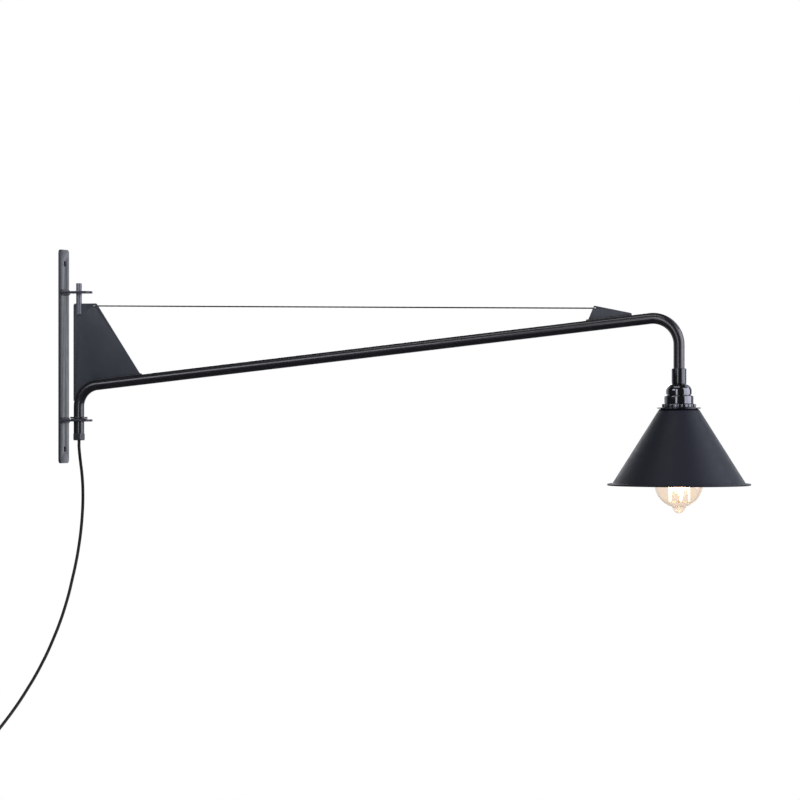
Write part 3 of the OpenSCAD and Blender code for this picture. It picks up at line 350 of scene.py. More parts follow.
def plate_mesh(name, outlines, thickness, ease, place):
    """Plate with holes. outlines[0] is the outside, the rest are holes, in mm. place turns (u, v, w) into x, y, z."""
    curve = bpy.data.curves.new(name, "CURVE")
    curve.dimensions = "2D"
    curve.fill_mode = "BOTH"
    curve.extrude = (thickness / 2 - ease) * MM
    curve.bevel_depth = ease * MM
    curve.bevel_resolution = 2
    for n, outline in enumerate(outlines):
        outline = drawn_in(np.asarray(outline, float), ease if n == 0 else -ease)
        line = curve.splines.new("POLY")
        line.points.add(len(outline) - 1)
        flat = np.zeros((len(outline), 4))
        flat[:, :2] = outline * MM
        flat[:, 3] = 1.0
        line.points.foreach_set("co", flat.ravel())
        line.use_cyclic_u = True
    holder = added(name + "_outline", curve)
    mesh = bpy.data.meshes.new_from_object(holder.evaluated_get(bpy.context.evaluated_depsgraph_get()))
    bpy.data.objects.remove(holder)
    bpy.data.curves.remove(curve)
    points = np.empty(len(mesh.vertices) * 3)
    mesh.vertices.foreach_get("co", points)
    points = place(points.reshape(-1, 3))
    mesh.vertices.foreach_set("co", points.ravel())
    mesh.name = name
    return cleaned(name, mesh, 10 * CLOSE, PLATE_CREASE)


def facing_x(p, x):
    """Plate in the YZ plane about x: u becomes y, v becomes z."""
    return np.stack([x * MM + p[:, 2], p[:, 0], p[:, 1]], -1)


def facing_y(p):
    """Plate in the XZ plane, in the middle of the lamp: u becomes x, v becomes z."""
    return np.stack([p[:, 0], -p[:, 2], p[:, 1]], -1)


def facing_z(p, z):
    """Plate in the XY plane about z."""
    return np.stack([p[:, 0], p[:, 1], z * MM + p[:, 2]], -1)


square = np.array([[0, 0], [10, 0], [10, 10], [0, 10]], float)
print("a 10 mm square drawn in by 1 mm measures:", np.ptp(drawn_in(square, 1.0), axis=0))

# %% [markdown]
# A few solids have the right shape but hard edges. A real moulding or stamping has no truly sharp edge, and without
# a small round it catches no light. The copy's triangles are first joined into flat faces, because a bevel follows
# the edges between those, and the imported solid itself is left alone. EASE holds the width of each one's round in mm.

# %% A softened copy of a solid
EASE = {"plug_body": 0.9, "plug_blades": 0.15, "cord_tie": 0.25, "retaining_ring": 0.25}
SHARP = 30.0


def eased_copy(node):
    """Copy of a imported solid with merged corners, clean flats and a small round on edges over SHARP degrees."""
    mesh = nodes[node].data.copy()
    mesh.transform(nodes[node].matrix_world)
    piece = cleaned(node + "_look", mesh, 10 * CLOSE, SHARP, flat=0.6)
    edge = piece.modifiers.new("eased", "BEVEL")
    edge.width = EASE[node] * MM
    edge.segments = 2
    edge.limit_method = "ANGLE"
    edge.angle_limit = math.radians(SHARP)
    edge.harden_normals = True
    return piece


print("solids that get an eased copy:", list(EASE))

# %% [markdown]
# ## Shader maths as Python
#
# A material is a small sum: so much of this noise, less of that one, kept between two values. Written out node by
# node it can't be read, so a wire in the graph is wrapped in a class that knows plus, minus and times, and each
# operator adds its Math node. Every other node comes from one method.

# %% A wire and its graph


class Wire:
    """An output socket that can be used in sums. Each operator adds one Math node to its graph."""

    def __init__(self, graph, socket):
        self.graph, self.socket = graph, socket

    def _sum(self, operation, a, b):
        """The wire out of one Math node, whose two inputs are wires or numbers."""
        return self.graph.node("ShaderNodeMath", {"operation": operation}, {0: a, 1: b})

    def __add__(self, other):
        return self._sum("ADD", self, other)

    def __radd__(self, other):
        return self._sum("ADD", other, self)

    def __sub__(self, other):
        return self._sum("SUBTRACT", self, other)

    def __rsub__(self, other):
        return self._sum("SUBTRACT", other, self)

    def __mul__(self, other):
        return self._sum("MULTIPLY", self, other)

    def __rmul__(self, other):
        return self._sum("MULTIPLY", other, self)

    def kept(self, low, high, easing="LINEAR"):
        """Scaled from the range low to high onto 0 to 1, and cut off there. Easing SMOOTHSTEP rounds both ends."""
        inputs = {"Value": self, "From Min": low, "From Max": high}
        return self.graph.node("ShaderNodeMapRange", {"clamp": True, "interpolation_type": easing}, inputs)


class Graph:
    """A node tree, of a material or of the world, to which one method adds every node."""

    def __init__(self, owner):
        owner.use_nodes = True
        self.tree = owner.node_tree
        self.tree.nodes.clear()

    def node(self, kind, settings, inputs, output=0):
        """Adds a node of that kind, its settings, then its sockets' values or links. Returns one output's wire."""
        made = self.tree.nodes.new(kind)
        for key, value in settings.items():
            if key == "stops":
                ramp = made.color_ramp
                ramp.elements[0].position, ramp.elements[0].color = value[0][0], (*value[0][1], 1.0)
                ramp.elements[1].position, ramp.elements[1].color = value[-1][0], (*value[-1][1], 1.0)
                for position, colour in value[1:-1]:
                    ramp.elements.new(position).color = (*colour, 1.0)
            else:
                setattr(made, key, value)
        for key, value in inputs.items():
            if isinstance(value, Wire):
                self.tree.links.new(value.socket, made.inputs[key])
            else:
                made.inputs[key].default_value = value
        return Wire(self, made.outputs[output]) if made.outputs else None


print("a wire can be used with:", [name for name in ("__add__", "__sub__", "__mul__") if hasattr(Wire, name)])

# %% [markdown]
# Every surface of the lamp is one Principled shader, because it fits paint, metal, glass and rubber alike and exports
# cleanly. What is the same all over goes straight onto it as a number. Noise in the piece's own coordinates gives
# the rest: clouds, marks and grain keep their size on a big piece and a small one, and move with it.

# %% A finish


class Finish(Graph):
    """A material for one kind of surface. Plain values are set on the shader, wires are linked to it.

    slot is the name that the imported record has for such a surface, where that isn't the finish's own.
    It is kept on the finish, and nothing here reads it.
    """

    def __init__(self, name, look, slot=None, **values):
        self.slot = slot or name
        self.material = bpy.data.materials.new(name)
        super().__init__(self.material)
        self.material.diffuse_color = (*look, 1.0)
        values = {socket.replace("_", " "): value for socket, value in values.items()}
        self.surface = self.node("ShaderNodeBsdfPrincipled", {}, values)
        self.node("ShaderNodeOutputMaterial", {}, {"Surface": self.surface})
        self.place = self.node("ShaderNodeTexCoord", {}, {}, output="Object")

    def noise(self, size, detail=3.0, roughness=0.5, squeeze=None):
        """Cloudy noise from 0 to 1 whose blots are about size metres across, less along an axis that is squeezed."""
        place = self.place
        if squeeze:
            place = self.node("ShaderNodeMapping", {}, {"Vector": place, "Scale": squeeze})
        inputs = {"Vector": place, "Scale": 1.0 / size, "Detail": detail, "Roughness": roughness}
        return self.node("ShaderNodeTexNoise", {}, inputs)

    def shade(self, mask, colours):
        """Colour between evenly spaced stops, by mask."""
        share = [n / (len(colours) - 1) for n in range(len(colours))]
        return self.node("ShaderNodeValToRGB", {"stops": list(zip(share, colours))}, {"Fac": mask})

    def bump(self, height, depth):
        """Normal of a surface that stands proud by height times depth metres."""
        return self.node("ShaderNodeBump", {}, {"Height": height, "Distance": depth}, output="Normal")

    def link(self, **sockets):
        """Links wires to the shader's sockets, by name."""
        for name, wire in sockets.items():
            self.tree.links.new(wire.socket, self.surface.socket.node.inputs[name.replace("_", " ")])

    def show(self, shader):
        """Puts another shader in the place of the plain one at the material's output."""
        self.tree.links.new(shader.socket, self.tree.get_output_node("ALL").inputs["Surface"])


def tones(colour, *levels):
    """The same colour at several brightnesses."""
    return [tuple(min(1.0, c * level) for c in colour) for level in levels]


def names(*finishes):
    """The finishes' own names, for printing."""
    return [finish.material.name for finish in finishes]


print("a grey at three brightnesses:", tones((0.5, 0.5, 0.5), 0.8, 1.0, 1.2))

# %% [markdown]
# ## Paint
#
# The arm, the plate and the cone wear baked paint: charcoal with a little blue in it, satin rather than glossy. Up
# close such paint has a faint orange peel from the spray gun, cloudy patches where it lies thicker, and a dusting
# of specks. Those are four noises at four sizes. The clouds turn the colour and the gloss, the peel bends the light,
# and a speck does a little of all three.

# %% Painted metal


def paint(name, colour, gloss, peel=0.000004, coat=0.0, coat_gloss=0.12, ior=1.5):
    """Sprayed and baked paint: colour clouds over 4 cm, gloss clouds over 1 cm, peel 1.2 mm and specks 0.4 mm wide."""
    finish = Finish(name, look=colour, IOR=ior, Coat_Roughness=coat_gloss, Coat_Weight=coat)
    cloud = finish.noise(0.04, 4.0, 0.6)
    fine = finish.noise(0.0012, 2.0, 0.5)
    speck = finish.noise(0.0004, 1.0, 0.5).kept(0.66, 0.78)
    gloss_cloud = finish.noise(0.01, 3.0, 0.55)
    finish.link(
        Base_Color=finish.shade(cloud.kept(0.3, 0.7) * 0.85 + speck * 0.15, tones(colour, 0.9, 1.0, 1.12)),
        Roughness=gloss_cloud.kept(0.25, 0.75) * 0.12 + (gloss - 0.06) + speck * 0.06,
        Normal=finish.bump(fine * 0.85 + speck * 0.15, peel),
    )
    return finish


BRACKET_PAINT = paint("bracket_paint", (0.022, 0.024, 0.036), 0.33)
ARM_PAINT = paint("arm_paint", (0.007, 0.007, 0.0105), 0.34, peel=0.0000006, coat=0.8, coat_gloss=0.17)
GUSSET_PAINT = paint("gusset_paint", (0.031, 0.037, 0.048), 0.45)
SHADE_PAINT = paint("shade_paint", (0.0075, 0.0088, 0.0175), 0.52, ior=1.42)
print("paints:", names(BRACKET_PAINT, ARM_PAINT, GUSSET_PAINT, SHADE_PAINT))

# %% [markdown]
# ## Bare and plated metal
#
# The lampholder is plated black: a mirror, only dark, so it shows the bright room as hard white lines. Drawn wire,
# brass and nickel differ from it in colour and gloss. Turned pieces have fine rings, so the noise is squeezed along
# the upright axis, and it is kept faint in the black plating, which shows little more than a haze of handling.

# %% Metals


def metal(name, colour, gloss, marks=0.1, coat=0.0, metallic=1.0, slot=None):
    """Metal with turning or drawing marks: noise that is squeezed along z changes the gloss and a little the tone."""
    finish = Finish(name, look=colour, slot=slot, Metallic=metallic, Coat_Weight=coat, Coat_Roughness=0.04)
    lines = finish.noise(0.002, 3.0, 0.6, squeeze=(1.0, 1.0, 9.0))
    haze = finish.noise(0.012, 3.0, 0.5)
    finish.link(
        Base_Color=finish.shade(lines * 0.6 + haze * 0.4, tones(colour, 0.85, 1.0, 1.1)),
        Roughness=lines * marks + haze.kept(0.4, 0.75) * 0.05 + (gloss - marks * 0.5),
        Normal=finish.bump(lines, 0.000008),
    )
    return finish


BLACK_CHROME = metal("black_chrome", (0.09, 0.09, 0.105), 0.13, 0.03, coat=1.0)
SLEEVE_CHROME = metal("sleeve_chrome", (0.05, 0.05, 0.058), 0.24, 0.05, coat=0.6, slot="black_chrome")
WASHER_METAL = metal("washer_metal", (0.09, 0.092, 0.105), 0.3)
WIRE_STEEL = metal("wire_steel", (0.02, 0.02, 0.021), 0.5)
BEAD_METAL = metal("bead_metal", (0.42, 0.42, 0.44), 0.3)
GLAND_METAL = metal("gland_metal", (0.035, 0.035, 0.042), 0.3, metallic=0.4)
SCREW_STEEL = metal("screw_steel", (0.12, 0.12, 0.13), 0.35)
NIPPLE_ZINC = metal("nipple_zinc", (0.6, 0.59, 0.55), 0.35)
BRASS = metal("blade_brass", (0.78, 0.58, 0.26), 0.24)
CAP_NICKEL = metal("cap_nickel", (0.72, 0.69, 0.62), 0.26)
CONTACT_TIN = metal("contact_tin", (0.66, 0.65, 0.62), 0.4)
SUPPORT_WIRE = metal("support_wire", (0.3, 0.27, 0.23), 0.4)
PIN_STEEL = paint("pin_steel", (0.12, 0.125, 0.155), 0.36, peel=0.000002, coat=0.6)
print("plated and painted:", names(BLACK_CHROME, SLEEVE_CHROME, WASHER_METAL, BEAD_METAL, GLAND_METAL, PIN_STEEL))
print("bare metals:", names(WIRE_STEEL, SCREW_STEEL, NIPPLE_ZINC, BRASS, CAP_NICKEL, CONTACT_TIN, SUPPORT_WIRE))

# %% [markdown]
# ## Plastics, rubber, ceramic and glass
#
# The cord's jacket is soft PVC with a faint sheen, and the plug is the same material moulded, with a fine grain that
# comes from a spark-eroded mould. Two things carry that look: a grain in the bump, and a slow cloud that turns both
# colour and gloss a little, as handling and dust do.

# %% Plastics and ceramic


def moulded(name, colour, gloss, grain=0.0006, depth=0.00002, specular=0.5):
    """Moulded plastic or rubber: a fine grain bends the light, and a slow cloud changes colour and gloss."""
    finish = Finish(name, look=colour, Specular_IOR_Level=specular)
    cloud = finish.noise(0.015, 3.0, 0.55)
    fine = finish.noise(grain, 2.0, 0.6)
    finish.link(
        Base_Color=finish.shade(cloud.kept(0.3, 0.7), tones(colour, 0.85, 1.0, 1.2)),
        Roughness=cloud.kept(0.3, 0.7) * 0.1 + (gloss - 0.05) + fine * 0.04,
        Normal=finish.bump(fine, depth),
    )
    return finish


CORD_JACKET = moulded("cord_jacket", (0.0085, 0.0085, 0.0088), 0.58, depth=0.00001, specular=0.32)
TIE_STRAP = moulded("tie_strap", (0.02, 0.02, 0.021), 0.6)
PLUG_MOULDING = moulded("plug_moulding", (0.016, 0.016, 0.017), 0.5, grain=0.0004, depth=0.00003)
GROMMET_RUBBER = moulded("grommet_rubber", (0.012, 0.012, 0.012), 0.65)
WASHER_NYLON = moulded("washer_nylon", (0.02, 0.02, 0.02), 0.45)
INSULATOR_CERAMIC = moulded("insulator_ceramic", (0.78, 0.75, 0.68), 0.2, grain=0.002)
CORE_INSULATION = moulded("core_insulation", (0.06, 0.06, 0.06), 0.45)
BLACK_GLASS = moulded("black_glass", (0.01, 0.01, 0.014), 0.08, grain=0.003)
print("soft:", names(CORD_JACKET, TIE_STRAP, PLUG_MOULDING, GROMMET_RUBBER, WASHER_NYLON, CORE_INSULATION))
print("hard:", names(INSULATOR_CERAMIC, BLACK_GLASS))

# %% [markdown]
# The bulb's glass is thin and tinted amber. Both of its walls are modelled, so light bends on the way in and on the
# way out. The tint deepens at the edge, where the facing ratio says the sight line runs along the wall: partly the
# longer way through the glass there, and partly a painted dark outline that stands in for the shade seen through the
# edge. The strand glows, with colour clouds along it because it is hotter between its supports.

# %% Glass and the glowing strand


def glass(name, colour, waviness):
    """Blown glass: waves in its walls from the blowing, and a tint that deepens where the wall is seen edge on.

    The edge's deeper tint is partly the longer way through the glass, and partly a painted dark outline.
    """
    finish = Finish(name, look=colour, Transmission_Weight=1.0, IOR=1.45, Roughness=0.0)
    wave = finish.noise(0.012, 2.0, 0.4)
    # Darker tone towards the edge: partly the longer way through the glass, partly a painted dark outline of shade.
    edge = finish.node("ShaderNodeLayerWeight", {}, {"Blend": 0.5}, output="Facing").kept(0.6, 1.0)
    finish.link(
        Base_Color=finish.shade(edge * 0.94 + wave * 0.06, tones(colour, 1.0, 0.93, 0.5)),
        Normal=finish.bump(wave, waviness),
    )
    return finish


AMBER_GLASS = glass("amber_glass", (1.0, 0.9, 0.8), 0.000002)
CLEAR_GLASS = glass("clear_glass", (0.97, 0.96, 0.92), 0.00005)

HOT_FILAMENT = Finish("hot_filament", look=(1.0, 0.8, 0.45), Emission_Strength=9.0, Roughness=0.6)
glow = HOT_FILAMENT.noise(0.004, 2.0, 0.5)
heat = [(1.0, 0.62, 0.26), (1.0, 0.8, 0.5), (1.0, 0.88, 0.62)]
HOT_FILAMENT.link(
    Base_Color=HOT_FILAMENT.shade(glow, tones((1.0, 0.72, 0.36), 0.85, 1.0)),
    Emission_Color=HOT_FILAMENT.shade(glow.kept(0.25, 0.75), heat),
)
print("glass and strand:", names(AMBER_GLASS, CLEAR_GLASS, HOT_FILAMENT))

# %% [markdown]
# ## Placing
#
# Every piece belongs to one of four bodies: the bracket, the arm, the bulb's cap or the bulb's glass. Placing a
# piece gives it its finish and the body that it moves with, and hides the solid that it stands for. It also prints
# the piece's faces and the three sides of its box, to hold against the drawing.
# Most pieces are grids that stand for one solid each and have its name, so a second function makes and places those.

# %% Put a piece in its place


def fit(piece, finish, body, *replaced):
    """Gives a piece its finish and its body, and hides the solids that it stands for."""
    piece.data.materials.clear()
    piece.data.materials.append(finish.material)
    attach(piece, body)
    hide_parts(*replaced)
    points = np.empty(len(piece.data.vertices) * 3)
    piece.data.vertices.foreach_get("co", points)
    sides = np.ptp(points.reshape(-1, 3), axis=0) / MM
    print(f"{piece.name} on {body}: {len(piece.data.polygons)} faces, box in mm {sides.round(1).tolist()}")
    return piece


def dress(node, parts, finish, body="swing_arm", crease=32.0):
    """Makes the piece that stands for one solid, out of (points, faces) pairs, and puts it in its place."""
    return fit(mesh_piece(node + "_look", parts, crease), finish, body, node)


# %% [markdown]
# ## The cord
#
# The cord leaves the gland straight down, bows away from the wall, and comes back to it as it runs off to the side.
# It is one line of round points, smoothed, as in the lamp's drawing. What the picture doesn't show is wound into a
# neat coil of four layers just past the picture's edge, and the last hand's breadth hangs down to the plug.

# %% The cord's route
CORD_R = 2.0
WALL_GAP = 3.5
ROUTE = [
    [23, 0, -113], [23, 0, -118], [22.9, 2.5, -128], [22.5, 7, -140], [22, 12, -152], [21.3, 16.5, -166],
    [20.5, 19.5, -182], [19.5, 21, -198], [18.3, 21.3, -214], [17, 20.5, -230], [15.5, 18.5, -246],
    [14, 15.3, -262], [12.5, 11, -277], [11, 5.5, -292], [9.7, -1, -307.5], [8.4, -9.3, -322.8],
    [7.2, -19.3, -338], [6.1, -31.4, -353], [5.2, -45.5, -367.5], [4.5, -61.3, -382], [4, -79.5, -396],
    [3.6, -99.8, -410], [3.5, -122.5, -423.3], [3.5, -146.7, -436.5], [3.5, -173.2, -449.5],
    [3.5, -201.4, -462], [3.5, -231, -474], [3.5, -262, -485],
]
TAIL = [[19, -316, -533], [17.5, -316, -541], [14, -316, -551], [11, -316, -562]]
PLUG_AT = (9.5, -316.0, -574.0)


def smooth_line(points, step):
    """Cubic curve through the points, whose slope at each is half the way from the point before to the one after."""
    p = np.asarray(points, float)
    slope = np.empty_like(p)
    slope[1:-1] = (p[2:] - p[:-2]) / 2
    slope[0], slope[-1] = p[1] - p[0], p[-1] - p[-2]
    count = max(2, int(round(np.linalg.norm(np.diff(p, axis=0), axis=1).max() / step)))
    t = np.linspace(0, 1, count, endpoint=False)[None, :, None]
    a, b, u, v = p[:-1, None], p[1:, None], slope[:-1, None], slope[1:, None]
    line = (2 * t**3 - 3 * t**2 + 1) * a + (t**3 - 2 * t**2 + t) * u
    line += (3 * t**2 - 2 * t**3) * b + (t**3 - t**2) * v
    return np.concatenate([line.reshape(-1, 3), p[-1:]])


print("the hanging part drops, mm:", ROUTE[0][2] - ROUTE[-1][2])

# %% [markdown]
# A spare length of cord is wound inwards, steps over by one thickness, and is wound outwards again. In numbers, the
# radius falls and rises by one pitch a turn, and between two layers the line climbs by one pitch with a smooth step,
# so that no bend is sharp. The inner turn is no tighter than a cord of this kind will stand.

# %% The coil's turns
COIL_AT = (-290.0, -522.0)
COIL_IN = 17.0
COIL_PITCH = 5.2
COIL_TURNS = (2, 2, 2, 1.7)
COIL_CLIMB = 0.5
COIL_START = 107.0
COIL_LEAD = 4.0


def coil_line(per_turn):
    """Spiral that runs in, climbs a layer in half a turn, runs out, and so on. Radius and height follow the turn."""
    marks = np.cumsum([0.0] + [n + COIL_CLIMB for n in COIL_TURNS[:-1]])
    total = marks[-1] + COIL_TURNS[-1]
    t = np.linspace(0, total, int(total * per_turn) + 1)
    layer = np.searchsorted(marks, t, side="right") - 1
    inside = t - marks[layer]
    turns = np.array(COIL_TURNS)[layer]
    run = np.minimum(inside, turns) * COIL_PITCH
    r = np.where(layer % 2 == 0, COIL_IN + COIL_PITCH * COIL_TURNS[0] - run, COIL_IN + run)
    climb = np.clip((inside - turns) / COIL_CLIMB, 0, 1)
    x = WALL_GAP + COIL_PITCH * (layer + climb**2 * (3 - 2 * climb))
    a = np.radians(COIL_START + 360 * t)
    points = np.stack([x, COIL_AT[0] + r * np.cos(a), COIL_AT[1] + r * np.sin(a)], -1)
    ends = [np.array([0.0, -math.sin(v), math.cos(v)]) * COIL_LEAD for v in (a[0], a[-1])]
    return np.concatenate([[points[0] - ends[0]], points, [points[-1] + ends[1]]])


coil = coil_line(per_turn=56)
hanging = smooth_line([[PIVOT, 0, GLAND_Z]] + ROUTE + [coil[0]], 3.2)
tail = smooth_line([coil[-1]] + TAIL + [PLUG_AT], 3.0)
cord_line = np.concatenate([hanging[:-1], coil[:-1], tail])

# %% [markdown]
# The jacket is one round section along the whole line, so there is no seam where the hanging part becomes the coil.
# It stands for three solids, and it stays with the bracket, because it drops out of the tube on the swing's own axis
# and the arm turns above it.

# %% The cord
cord = mesh_piece("cord", [carried(cord_line, CORD_R, 20, side=(1.0, 0.0, 0.0))], 32.0)
fit(cord, CORD_JACKET, "wall_bracket", "power_cord", "cord_coil", "cord_tail")

# %% [markdown]
# The plug is a plain moulded body with sloping shoulders, two brass blades with the usual hole in each, and a
# ribbed sleeve where the cord goes in, which keeps the cord from kinking there. Only the sleeve is a new shape: its
# ribs are a cosine that is cut off above and below. The rest are eased copies, and so is the coil's tie.

# %% The plug
RELIEF_LOW, RELIEF_TOP, RELIEF_LEN = 5.0, 2.9, 22.0
RIBS, RIB_DEPTH, RIB_STEEP, RIB_BROAD = 6, 0.6, 1.15, 0.35
PLAIN_FOOT, PLAIN_HEAD, RELIEF_ROWS = 1.9, 1.6, 121
height = np.linspace(0, RELIEF_LEN, RELIEF_ROWS)
rib = np.clip(RIB_STEEP * np.cos(2 * np.pi * height / (RELIEF_LEN / RIBS)) + RIB_BROAD, 0, 1)
rib[(height < PLAIN_FOOT) | (height > RELIEF_LEN - PLAIN_HEAD)] = 1.0
sleeve_r = RELIEF_LOW + (RELIEF_TOP - RELIEF_LOW) * height / RELIEF_LEN - RIB_DEPTH * (1 - rib)
relief_outline = np.concatenate([[[0, 0]], np.stack([sleeve_r, height], -1), [[0, RELIEF_LEN]]])
relief_outline[:, 1] += PLUG_AT[2] - RELIEF_LEN
relief = dress("plug_relief", [turned(relief_outline, PLUG_AT[:2], 40)], PLUG_MOULDING, "wall_bracket", 40)
plug, blades, tie = (
    fit(eased_copy(node), finish, "wall_bracket", node)
    for node, finish in (("plug_body", PLUG_MOULDING), ("plug_blades", BRASS), ("cord_tie", TIE_STRAP))
)
print("plug at, mm:", PLUG_AT)

# %% [markdown]
# ## Wall bracket
#
# A strip of flat steel with rounded corners is what the lamp hangs from, with a screw hole near each end. It is cut
# from its outline, and its two holes are outlines too, so their rims are eased like the outer edge.

# %% The wall plate
PLATE_T, HALF_WIDE, HALF_HIGH, CORNER_R = 3.0, 15.0, 139.5, 5.0
SCREW_R, SCREW_Z = 3.5, 121.0
CUT_EASE = 0.3
plate = section(-HALF_HIGH, HALF_HIGH, -HALF_WIDE, HALF_WIDE, [CORNER_R] * 4, 10)
holes = [round_hole((0, z), SCREW_R, 40) for z in (-SCREW_Z, SCREW_Z)]
wall_plate = plate_mesh("wall_plate_look", [plate] + holes, PLATE_T, CUT_EASE, lambda p: facing_x(p, PLATE_T / 2))
fit(wall_plate, BRACKET_PAINT, "wall_bracket", "wall_plate")

# %% [markdown]
# A lug is a tongue of the same steel: two straight sides, a half-round end and a bore on the swing axis. The upper
# one holds the pin and the lower one the tube, so one function makes both and only the bore differs.

# %% The lugs
LUG_Z, LUG_T, LUG_EASE = 83.5, 3.0, 0.35
LUG_R, LUG_END = 14.0, 27.0
PIN_R = 3.75
PIN_BORE, TUBE_BORE = PIN_R + PLAY, TUBE_R + PLAY


def lug_piece(name, z, bore):
    """Lug: a tongue as wide as its half-round end, whose centre is at LUG_END, with a bore on the swing axis."""
    outline = np.concatenate([[[PLATE_T, -LUG_R]], arc((LUG_END, 0.0), LUG_R, -90, 90, 32), [[PLATE_T, LUG_R]]])
    return plate_mesh(name, [outline, round_hole(ON_PIVOT, bore, 48)], LUG_T, LUG_EASE, lambda p: facing_z(p, z))


for node, z, bore in (("upper_lug", LUG_Z, PIN_BORE), ("lower_lug", -LUG_Z, TUBE_BORE)):
    fit(lug_piece(node + "_look", z, bore), BRACKET_PAINT, "wall_bracket", node)

# %% [markdown]
# Each lug is welded on above and below. A weld is laid as a row of overlapping puddles, so its surface rises and
# falls along the seam. The bead is a quarter round whose radius follows a rectified sine, which gives the round
# backs and the sharp valleys of real puddles, and it is closed at the corner behind it.

# %% The weld beads
VALLEY = 0.88
LUG_WELD_R, LUG_PUDDLE = 2.4, 2.1


def puddled(s, length, r, pitch):
    """Radius of a weld bead at s: r times VALLEY between two puddles, r on each, and rounded off at its ends."""
    ripple = VALLEY + (1 - VALLEY) * np.abs(np.sin(np.pi * s / pitch))
    end = np.clip(np.minimum(s, length - s) / r, 0, 1)
    return r * ripple * np.sqrt(np.clip(1 - (1 - end) ** 2, 0.02, 1))


def quarter_bead(z, up):
    """Quarter-round bead in the corner between plate and lug, as long as the lug is wide: (r cos a, s, r sin a)."""
    steps, parts = 113, 9
    s = np.linspace(0, 2 * LUG_R, steps)[:, None]
    a = np.radians(np.linspace(0, 90, parts))[None, :]
    r = puddled(s, 2 * LUG_R, LUG_WELD_R, LUG_PUDDLE)
    y = np.broadcast_to(s - LUG_R, (steps, parts))
    face = np.stack([PLATE_T + r * np.cos(a), y, z + up * r * np.sin(a)], -1)
    corner = np.stack([np.full((steps, 1), PLATE_T), s - LUG_R, np.full((steps, 1), float(z))], -1)
    rows = np.concatenate([face, corner], 1)
    ends = [np.broadcast_to(corner[n, 0], (1, parts + 1, 3)) for n in (0, -1)]
    return gridded(np.concatenate([ends[0], rows, ends[1]]), False)


beads = [quarter_bead(lug + side * LUG_T / 2, side) for lug in (LUG_Z, -LUG_Z) for side in (1, -1)]
dress("lug_welds", beads, BRACKET_PAINT, "wall_bracket", crease=60)

# %% [markdown]
# ## Hinge
#
# The arm hangs in the bracket like a gate: a pin at its top turns in the upper lug, and its tube passes through the
# lower lug, where a collar rests on a thin washer. All of these are turned pieces with a small round at each edge.

# %% Pin, collar and washer
LUG_TOP = -LUG_Z + LUG_T / 2
WASHER_T, WASHER_IN, WASHER_R = 1.0, 7.3, 10.9
COLLAR_PLAY, COLLAR_T, COLLAR_R = 0.3, 2.0, 11.5
GUSSET_TOP = 69.0
PIN_LOW, PIN_TOP, PIN_FOOT_R = 55.0, 95.5, 4.15

washer = section(LUG_TOP, LUG_TOP + WASHER_T, WASHER_IN, WASHER_R, [0.2] * 4, 3)
dress("thrust_washer", [turned(washer, ON_PIVOT)], WASHER_NYLON, "wall_bracket")
collar_low = LUG_TOP + WASHER_T + COLLAR_PLAY
collar = section(collar_low, collar_low + COLLAR_T, TUBE_BORE, COLLAR_R, [0.4] * 4, 3)
dress("stop_collar", [turned(collar, ON_PIVOT)], ARM_PAINT)
neck = GUSSET_TOP + PIN_FOOT_R - PIN_R
pin = rounded(
    [[0, PIN_LOW], [PIN_FOOT_R, PIN_LOW], [PIN_FOOT_R, GUSSET_TOP], [PIN_R, neck], [PIN_R, PIN_TOP], [0, PIN_TOP]],
    [0, 0.3, 0.15, 0.15, 0.7, 0], 4,
)
dress("pivot_pin", [turned(pin, ON_PIVOT, 48)], PIN_STEEL)

# %% [markdown]
# ## Arm tube
#
# One length of steel tube is bent twice. Its centre line is two arcs joined by a straight run, and a bend drawn by
# arc length keeps the rings evenly spaced, so the highlight flows round the bend without a kink. The wall is real:
# the path is followed out along the outside and back along the bore.

# %% The arm's line
RING_STEP = 2.5


def arm_line(low, end):
    """Centre line of the arm in mm: up from low, round the elbow, along the rise, round the tip bend, down to end."""
    elbow = arc(ELBOW_CENTRE, ELBOW_R, 180, 90 + RISE_DEGREES, 28)
    over = arc((TIP - TIP_BEND_R, arm_z(TIP) - TIP_CUT), TIP_BEND_R, 90 + RISE_DEGREES, 0, 34)

    def straight(a, b):
        """Evenly spaced points on the line from a to b, about RING_STEP apart, without its two ends."""
        n = max(2, int(np.linalg.norm(np.subtract(b, a)) / RING_STEP))
        return np.linspace(a, b, n + 1)[1:-1]

    flat = np.concatenate([
        [[PIVOT, low]], straight([PIVOT, low], elbow[0]), elbow, straight(elbow[-1], over[0]), over,
        straight(over[-1], [TIP, end]), [[TIP, end]],
    ])
    return np.stack([flat[:, 0], np.zeros(len(flat)), flat[:, 1]], -1)


TUBE_END = SLEEVE_TOP - 12.0
tube_line = arm_line(FOOT_Z, TUBE_END)
dress("arm_tube", [carried(tube_line, TUBE_R, 64, bore=BORE_R)], ARM_PAINT, crease=50)
print("tube rings:", len(tube_line))

# %% [markdown]
# ## Gussets and stay wire
#
# The hinge gusset is what the eye goes to: a dark four-sided plate between pin and tube. Its top edge has a slot for
# the pin's foot. Both gussets are cut to fit round the tube, so their lower edges follow the tube's skin, a little
# inside it, where the weld would be.

# %% The hinge gusset
RUN_START = np.array([PIVOT + ELBOW_CUT * math.cos(RISE), -DROP + ELBOW_CUT * math.sin(RISE)])
RUN_UP = np.array([-math.sin(RISE), math.cos(RISE)])
SEAT = TUBE_R - 0.5
GUSSET_T, HOLE_R, NEAR_IN = 2.0, 1.33, (2.97, 3.3)
GUSSET_BACK, GUSSET_LOW, GUSSET_FRONT, GUSSET_END = 15.5, -58.0, PIVOT + 24.5, PIVOT + 90
SLOT_BACK, SLOT_FRONT, SLOT_LOW = 18.8, 27.2, 54.95


def on_run(x, above):
    """Point on the arm's run at x, a distance above its centre line, square to it."""
    return np.array([x, arm_z(x)]) + RUN_UP * above


